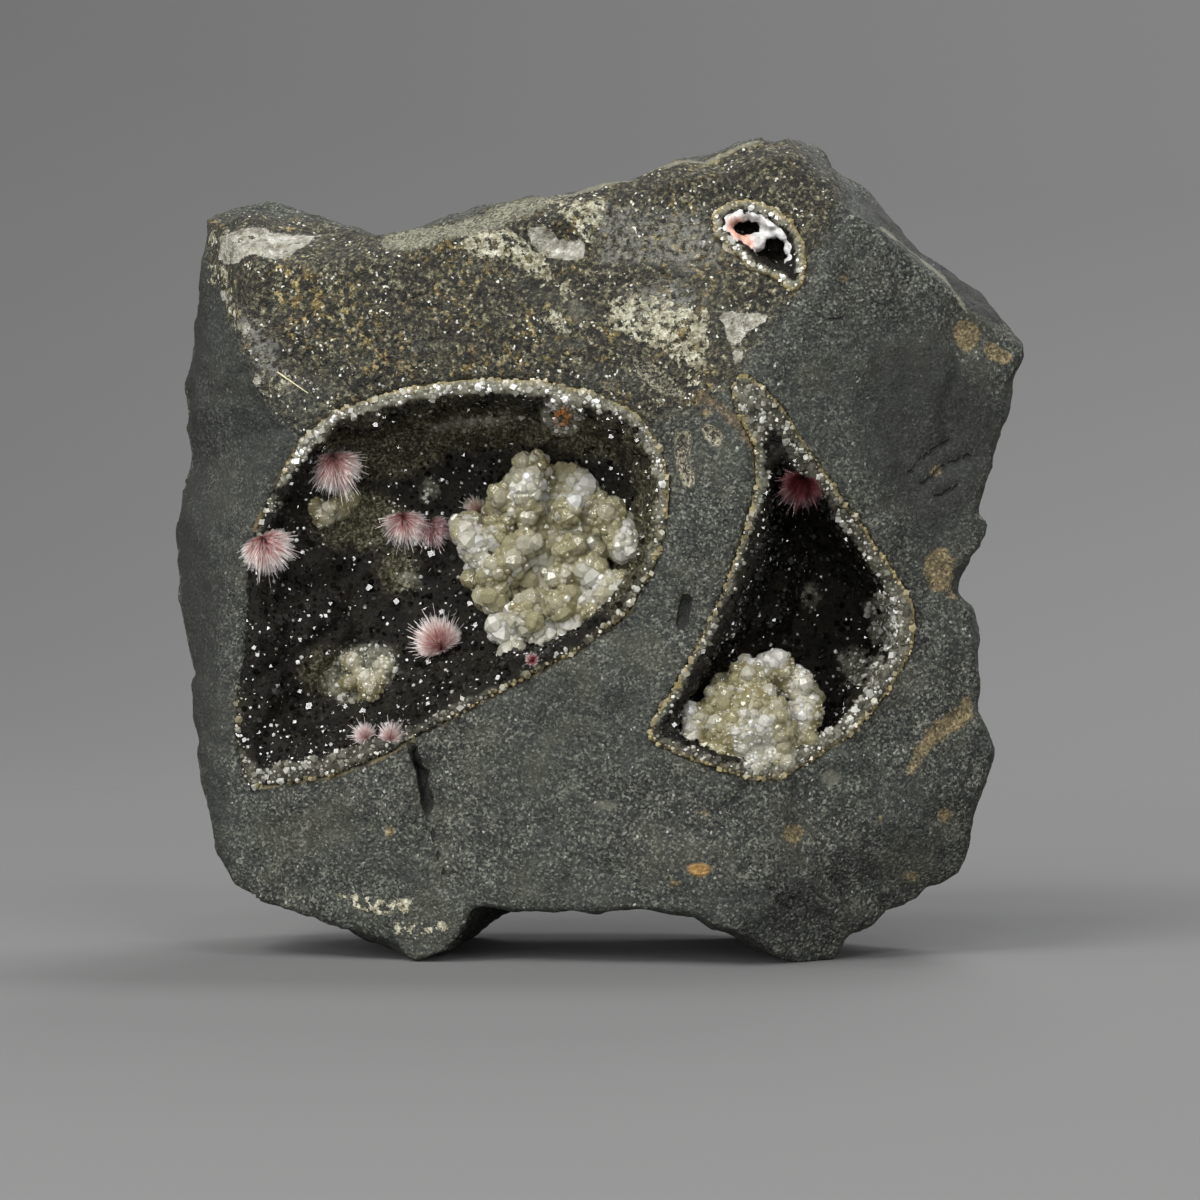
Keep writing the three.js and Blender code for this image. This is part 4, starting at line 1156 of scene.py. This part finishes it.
def heap(name, node, extra, large, small, voxel, materials, white_spots, seed):
    """A CAD mound with some extra lumps, overgrown with large and small crystals, as one object."""
    form = bmesh.new()
    form.from_mesh(solid_copy(node))
    for x, z, deep, radius in extra:
        place = Matrix.Translation(on_front(x, z, deep))
        bmesh.ops.create_icosphere(form, subdivisions=2, radius=radius * MM, matrix=place)
    mesh = bpy.data.meshes.new(name)
    form.to_mesh(mesh)
    form.free()
    base = remeshed(name, mesh, voxel)
    places, facing = corners_of(base.data), normals_of(base.data)
    from_rock = np.array([rock_tree.find_nearest(Vector(p))[3] for p in places]) / MM
    open_side = eased(from_rock, 0.9, 1.4) * eased(-facing[:, 1], -0.55, -0.15)
    set_values(base.data, "growth", open_side)
    set_values(base.data, "tone", np.full(len(places), 0.3))
    set_values(base.data, "white", eased(inside_of(white_spots, places), -1.2, 0.6))
    base.data.materials.append(materials[0])
    parts = [base]
    for kind, (smallest, largest, spacing, sunk) in [("large", large), ("small", small)]:
        parts.append(grown(
            SCATTER, f"{name}_{kind}", base.data.copy(), forms=LARGE_FORMS, spacing=spacing * MM,
            density=HEAP_DENSITY, smallest=smallest * MM, largest=largest * MM, sunk=sunk * MM, seed=seed,
            material=materials[1],
        ))
        seed += 7
    whole = joined(name, parts, materials)
    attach(whole, "root")
    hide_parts(node)
    return whole


def joined(name, objects, materials):
    """Several meshes as one object. The first keeps the first material, and the others have the second."""
    form = bmesh.new()
    for i, obj in enumerate(objects):
        for polygon in obj.data.polygons:
            polygon.material_index = min(i, 1)
        form.from_mesh(obj.data)
    mesh = bpy.data.meshes.new(name)
    form.to_mesh(mesh)
    form.free()
    for material in materials:
        mesh.materials.append(material)
    for obj in objects:
        bpy.data.objects.remove(obj)
    return new_object(name, mesh)


LEFT_EXTRA = [
    (-11.9, 42.8, 8.0, 2.3), (-10.6, 40.4, 7.6, 1.9), (-6.5, 40.8, 7.0, 2.3), (-4.6, 39.4, 6.6, 1.8),
    (-3.0, 42.6, 6.5, 2.2), (-9, 44.5, 6.5, 2.6), (-4.6, 45.5, 5.6, 2.4), (-13.6, 47, 8.0, 2.1),
    (-15.6, 52.5, 7.5, 1.9), (-16.5, 54.5, 7.5, 1.8), (3.0, 53.6, 6.6, 1.9), (1.4, 47.6, 6.4, 2.2),
    (-0.6, 44.6, 6.4, 2.2), (-9.2, 60.4, 6.5, 2.0), (-13, 49.8, 7, 2.2),
]
RIGHT_EXTRA = [
    (11.4, 28.2, 3.4, 2.2), (12.6, 31, 4.2, 2.6), (15.6, 33.4, 4.8, 2.8), (18.6, 36.2, 5.4, 2.8),
    (22, 37.8, 6, 2.4), (24.6, 35.6, 5.4, 2.3), (25.6, 32, 4.4, 2.5), (25.4, 28.6, 3.2, 2.2),
    (22.4, 26.4, 2.2, 2.5), (18.8, 25.4, 1.8, 2.4), (15, 26.6, 2.2, 2.5), (17, 29.6, 2.4, 3.2),
    (21.2, 30.8, 2.8, 3.3), (19.2, 33, 3.6, 3),
]
LEFT_WHITE = [
    oval(-9.2, 60.4, 2, 1.8), oval(-16, 53, 2, 3), oval(-11.9, 42.6, 2.2, 2.4), oval(-5.4, 40.4, 3, 2.4),
    oval(3.2, 53.6, 1.6, 1.6), oval(-3, 60, 1.6, 1.4), oval(0, 48, 2, 1.6),
]
RIGHT_WHITE = [oval(19.4, 27.8, 2.4, 4), oval(25.4, 34.4, 1.2, 4), oval(11.2, 30, 1, 3), oval(21, 39, 2.6, 1)]
UPPER_EXTRA = [(-37.2, 58.4, 7.4, 1.7), (-35.2, 57.4, 7.6, 1.8), (-33, 57.6, 8.4, 1.8), (-31.4, 58.8, 9.4, 1.6)]
LOWER_EXTRA = [(-28, 36, 7.5, 1.4), (-31, 38.4, 8.5, 1.5), (-27, 38, 8.6, 1.4)]
STRAW = (STRAW_MOUND_SHADE, STRAW_CRYSTALS)
OLIVE = (OLIVE_MOUND_SHADE, OLIVE_CRYSTALS)

# %% Heaps
# After the lumps: the smallest and largest crystal, their spacing and how far they are sunk, for the large ones and
# then for the small ones, and the voxel of the mound.
heap("analcime_heap_left", "analcime_cluster_left", LEFT_EXTRA,
     (0.7, 1.75, 1.3, 0.25), (0.25, 0.7, 0.85, 0.0), 0.5, STRAW, LEFT_WHITE, 410)
heap("analcime_heap_right", "analcime_cluster_right", RIGHT_EXTRA,
     (0.4, 1.3, 1.05, 0.2), (0.16, 0.42, 0.45, 0.0), 0.45, STRAW, RIGHT_WHITE, 430)
heap("analcime_group_upper", "analcime_knob_upper", UPPER_EXTRA,
     (0.6, 1.0, 1.5, 0.5), (0.22, 0.45, 0.8, 0.12), 0.3, OLIVE, [oval(-34, 57, 1, 1)], 450)
heap("analcime_group_lower", "analcime_knob_lower", LOWER_EXTRA,
     (0.5, 0.9, 1.2, 0.4), (0.22, 0.5, 0.55, 0.12), 0.3, OLIVE, [oval(-29, 38, 3, 2)], 470)

# %% [markdown]
# ## Natrolite
#
# A spray is a burst of hair-fine needles from one root. Each needle is a thin three-sided cone that stores how far
# along it a corner lies, and the finish turns that into deep red, pink and white. Geometry Nodes make the needles:
# points with random directions and a cone on each. A spray has an axis, and needles that would point back from it
# are deleted.


# %% Needle tree
def needle_tree():
    g, asked = open_tree(
        "needle_spray",
        ("Nothing", "Geometry"), ("Count", "Int"), ("Root", "Vector"), ("Axis", "Vector"),
        ("Spread", "Float"), ("Length", "Float"), ("Thickness", "Float"), ("Seed", "Int"), ("Material", "Material"),
    )
    seed = asked["Seed"]
    points = g.node("GeometryNodePoints", inputs={"Count": asked["Count"], "Position": asked["Root"]})
    # Directions from a cube are even only inside its ball, so those of its corners are dropped.
    heading = random_vector(g, -1, 1, seed)
    length = g.node("ShaderNodeVectorMath", {"operation": "LENGTH"}, {0: heading}, output="Value")
    unit = g.node("ShaderNodeVectorMath", {"operation": "NORMALIZE"}, {0: heading})
    along = g.node("ShaderNodeVectorMath", {"operation": "DOT_PRODUCT"}, {0: unit, 1: asked["Axis"]}, output="Value")
    more, less = [{"data_type": "FLOAT", "operation": word + "_THAN"} for word in ("GREATER", "LESS")]
    outside = g.node("FunctionNodeCompare", more, {0: length, 1: 1.0})
    behind = g.node("FunctionNodeCompare", less, {0: along, 1: asked["Spread"]})
    unwanted = g.node("FunctionNodeBooleanMath", {"operation": "OR"}, {0: outside, 1: behind})
    headed = with_value(g, points, "heading", unit, "FLOAT_VECTOR")
    marked = with_value(g, headed, "along", along)
    kept = g.node("GeometryNodeDeleteGeometry", {"domain": "POINT"}, {"Geometry": marked, "Selection": unwanted})

    cone = g.node(
        "GeometryNodeMeshCone",
        {"fill_type": "NONE"},
        {"Vertices": 3, "Side Segments": 1, "Radius Top": 0.3, "Radius Bottom": 1.0, "Depth": 1.0},
    )
    height = g.node("ShaderNodeSeparateXYZ", inputs=[g.node("GeometryNodeInputPosition")], output="Z")
    needle = with_value(g, cone, "reach", height)
    heading = value_of(g, "heading", "FLOAT_VECTOR")
    turn = g.node("FunctionNodeAlignRotationToVector", {"axis": "Z"}, {"Vector": heading})
    # A few needles stand out, longer and thicker. Those off the axis are shorter.
    standing = random_value(g, seed + 2).eased(0.955, 0.965)
    reach = asked["Length"] * (0.5 + 0.45 * random_value(g, seed + 1) ** 0.7 + 0.3 * standing)
    reach = reach * (0.6 + 0.4 * value_of(g, "along"))
    thick = asked["Thickness"] * (1 + 1.1 * standing)
    scale = g.node("ShaderNodeCombineXYZ", inputs=[thick, thick, reach])
    inputs = {"Points": kept, "Instance": needle, "Rotation": turn, "Scale": scale}
    placed = g.node("GeometryNodeInstanceOnPoints", inputs=inputs)
    return close_tree(g, placed, asked["Material"])


# %% Needle finish
NATROLITE_IOR = 1.48


def needles(name, stops):
    f = Finish(name)
    colour = f.ramp(f.stored("reach"), *stops)
    return f.close(colour, Roughness=0.3, IOR=NATROLITE_IOR)


RED_TO_WHITE = needles("natrolite_needles", [
    (0.0, (0.13, 0.006, 0.007)),
    (0.36, (0.26, 0.018, 0.02)),
    (0.55, (0.38, 0.08, 0.075)),
    (0.72, (0.56, 0.34, 0.31)),
    (0.9, (0.82, 0.78, 0.75)),
])
DARK_RED = needles("natrolite_needles_dark", [
    (0.0, (0.06, 0.004, 0.005)),
    (0.5, (0.18, 0.018, 0.022)),
    (0.78, (0.36, 0.14, 0.14)),
    (0.96, (0.85, 0.8, 0.8)),
])
# The spray on the right: its deep red with painted shade, as it sits in shadow.
DEEP_RED_IN_SHADE = needles("natrolite_needles_deep", [
    (0.0, (0.015, 0.002, 0.002)),
    (0.6, (0.045, 0.005, 0.007)),
    (1.0, (0.085, 0.022, 0.025)),
])
# A few thick white needles on the right spray: painted glints.
WHITE_GLINTS = needles("natrolite_needles_white", [
    (0.0, (0.1, 0.02, 0.02)),
    (0.7, (0.5, 0.45, 0.45)),
    (0.85, (0.9, 0.9, 0.92)),
])
PINKISH = needles("natrolite_needles_pink", [
    (0.0, (0.3, 0.05, 0.045)),
    (0.35, (0.45, 0.22, 0.2)),
    (0.8, (0.7, 0.62, 0.6)),
])
BROWNISH = needles("natrolite_needles_brown", [
    (0.0, (0.1, 0.02, 0.012)),
    (0.4, (0.25, 0.12, 0.08)),
    (0.75, (0.45, 0.34, 0.27)),
    (0.95, (0.8, 0.75, 0.68)),
])

# %% Sprays
NEEDLES = needle_tree()
LEFT_WALL = search_tree(left_crust.data)
RIGHT_WALL = search_tree(right_crust.data)
NEEDLE_THICKNESS = 0.026
SINGLE_NEEDLE_THICKNESS = 0.075
BACKWARD_LIMIT = 0.05
# Most of the points are deleted again, so more of them are asked for than there will be needles.
POINTS_FOR_EACH = 5


def wall_at(tree, x, z):
    """Where the line of sight through [x, z] meets a crust."""
    return tree.ray_cast(EYE, (on_front(x, z) - EYE).normalized())[0]


# Each spray: its node, its wall, its root on the front, the length of its needles in millimetres, the way they
# lean, their number and their finish.
SPRAYS = [
    ("natrolite_spray_top", LEFT_WALL, (-33.4, 64.2), 5.8, (0.15, -0.22, -0.95), 1900, RED_TO_WHITE),
    ("natrolite_spray_left", LEFT_WALL, (-42.2, 54.0), 5.6, (0.4, -0.22, -0.85), 1800, RED_TO_WHITE),
    ("natrolite_spray_twin_a", LEFT_WALL, (-24.6, 56.8), 5.0, (0.1, -0.28, -0.95), 1500, RED_TO_WHITE),
    ("natrolite_spray_twin_b", LEFT_WALL, (-21.2, 55.8), 3.9, (0.35, -0.4, -0.8), 1200, DARK_RED),
    ("natrolite_spray_middle", LEFT_WALL, (-19.8, 40.2), 5.0, (-0.35, -0.3, 0.85), 2000, RED_TO_WHITE),
    ("natrolite_spray_brown", LEFT_WALL, (-15.0, 57.2), 2.8, (-0.6, -0.4, 0.65), 500, BROWNISH),
    ("natrolite_spray_low_a", LEFT_WALL, (-29.2, 29.0), 2.6, (-0.5, -0.4, 0.8), 500, PINKISH),
    ("natrolite_spray_low_b", LEFT_WALL, (-26.2, 28.8), 2.8, (0.15, -0.4, 0.9), 500, PINKISH),
    # The right spray is darkened with painted shade.
    ("natrolite_spray_right", RIGHT_WALL, (25.6, 61.4), 4.3, (-0.35, -0.3, -0.85), 2000, DEEP_RED_IN_SHADE),
    (None, LEFT_WALL, (-8.4, 38.6), 1.5, (0.0, -0.8, 0.5), 300, DARK_RED),
    # Painted glints: a few thick white needles on the right spray.
    (None, RIGHT_WALL, (25.0, 61.0), 5.4, (-0.6, -0.3, -0.85), 14, WHITE_GLINTS),
]
for i, (node, wall, (x, z), length, lean, count, finish) in enumerate(SPRAYS):
    place = wall_at(wall, x, z)
    name = node.replace("spray", "needles") if node else f"natrolite_needles_{i}"
    thickness = SINGLE_NEEDLE_THICKNESS if finish is WHITE_GLINTS else NEEDLE_THICKNESS
    if node:
        low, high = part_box(node)
        corners = [round(c / MM, 1) for c in (*place, *low, *high)]
        print(node, "needles at", corners[:3], "box", corners[3:])
    spray = grown(
        NEEDLES, name, bpy.data.meshes.new("empty"), count=POINTS_FOR_EACH * count, root=place,
        axis=Vector(lean).normalized(), spread=BACKWARD_LIMIT, length=length * MM, thickness=thickness * MM,
        seed=500 + i, material=finish,
    )
    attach(spray, "root")
    if node:
        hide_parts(node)

# %% [markdown]
# One straw-coloured needle has come loose and lies on the rock above the left pocket.


# %% Loose needle
def loose_needle():
    start, end = on_front(-40.4, 74.8, -0.35), on_front(-36.5, 72.1, -0.3)
    along = end - start
    form = bmesh.new()
    turn = along.to_track_quat("Z", "Y").to_matrix().to_4x4()
    place = Matrix.Translation((start + end) / 2) @ turn
    bmesh.ops.create_cone(
        form, segments=6, radius1=0.11 * MM, radius2=0.05 * MM, depth=along.length, cap_ends=True, matrix=place
    )
    mesh = bpy.data.meshes.new("loose_needle")
    form.to_mesh(mesh)
    form.free()
    return new_object("loose_needle", mesh)


f = Finish("straw_needle")
straw_colour = f.ramp(f.lumps(0.8), (0.3, (0.5, 0.42, 0.22)), (0.7, (0.8, 0.74, 0.5)))
needle = loose_needle()
straw_needle = f.close(straw_colour, Roughness=0.25, IOR=NATROLITE_IOR, Transmission_Weight=0.2)
needle.data.materials.append(straw_needle)
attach(needle, "root")

# %% [markdown]
# ## Floor and light
#
# The floor is a plain pale dish, flat in the middle and rising far out on all sides, so it shows no edge from any
# view. One soft light stands above and in front, one behind, and one lights the wall. Many small ones in front add
# the flashes on the crystal faces.

# %% Floor
FLAT_RADIUS, RISING_WIDTH, RISE = 0.4, 1.7, 2.3
RING_STEPS, RING_CORNERS = 24, 96
FLOOR_GREY = (0.126, 0.126, 0.126)

profile = [(FLAT_RADIUS, 0.0)]
for step in range(1, RING_STEPS + 1):
    t = step / RING_STEPS * math.pi / 2
    profile.append((FLAT_RADIUS + RISING_WIDTH * math.sin(t), RISE * (1 - math.cos(t)) ** 1.5))
form = bmesh.new()
rings = []
for radius, level in profile:
    angles = [2 * math.pi * k / RING_CORNERS for k in range(RING_CORNERS)]
    rings.append([form.verts.new((radius * math.cos(a), radius * math.sin(a), level)) for a in angles])
form.faces.new(rings[0])
for low_ring, high_ring in zip(rings, rings[1:]):
    for k in range(RING_CORNERS):
        after = (k + 1) % RING_CORNERS
        form.faces.new((low_ring[k], low_ring[after], high_ring[after], high_ring[k]))
floor_mesh = bpy.data.meshes.new("floor")
form.to_mesh(floor_mesh)
form.free()
for polygon in floor_mesh.polygons:
    polygon.use_smooth = len(polygon.vertices) == 4
floor = new_object("floor", floor_mesh)
f = Finish("backdrop")
floor.data.materials.append(f.close(FLOOR_GREY, Roughness=0.95))

# %% Lights
AIM = Vector((0, -0.01, 0.05))
FLASH_SIZE, FLASH_WATTS = 0.17, 1.5


def softbox(name, place, size, watts, colour=(1, 1, 1), aim=AIM):
    light = bpy.data.lights.new(name, "AREA")
    light.shape = "SQUARE"
    light.size = size
    light.energy = watts
    light.color = colour
    obj = bpy.data.objects.new(name, light)
    obj.location = place
    obj.rotation_euler = (aim - Vector(place)).to_track_quat("-Z", "Y").to_euler()
    obj.visible_camera = False
    bpy.context.scene.collection.objects.link(obj)


softbox("key", (-0.5, -0.75, 0.9), 0.4, 9, (1, 0.98, 0.95))
softbox("back", (0.3, 0.9, 0.9), 0.6, 5)
softbox("wall", (0.55, 0.5, 1.6), 0.8, 34, aim=Vector((0.7, 1.7, 0.5)))
FLASHES = [
    (-0.9, -0.55, 0.3), (-0.75, -0.6, 0.75), (-0.55, -0.9, 0.2), (-0.3, -1.0, 0.45), (0.05, -0.5, 1.1),
    (-0.45, -0.35, 1.1), (0.2, -1.0, 0.15), (0.45, -0.95, 0.5), (0.5, -0.7, 0.9), (-0.1, -1.05, 0.75),
    (0.85, -0.6, 0.4), (-1.0, -0.2, 0.6), (-0.65, -0.8, 0.5), (0.25, -0.8, 0.75), (-0.2, -0.8, 0.1),
]
for i, place in enumerate(FLASHES):
    softbox(f"flash_{i}", place, FLASH_SIZE, FLASH_WATTS)

world = bpy.data.worlds.new("studio")
world.use_nodes = True
world.node_tree.nodes["Background"].inputs["Color"].default_value = (0.9, 0.95, 1, 1)
world.node_tree.nodes["Background"].inputs["Strength"].default_value = 0.22
bpy.context.scene.world = world
bpy.context.scene.view_settings.view_transform = "Standard"
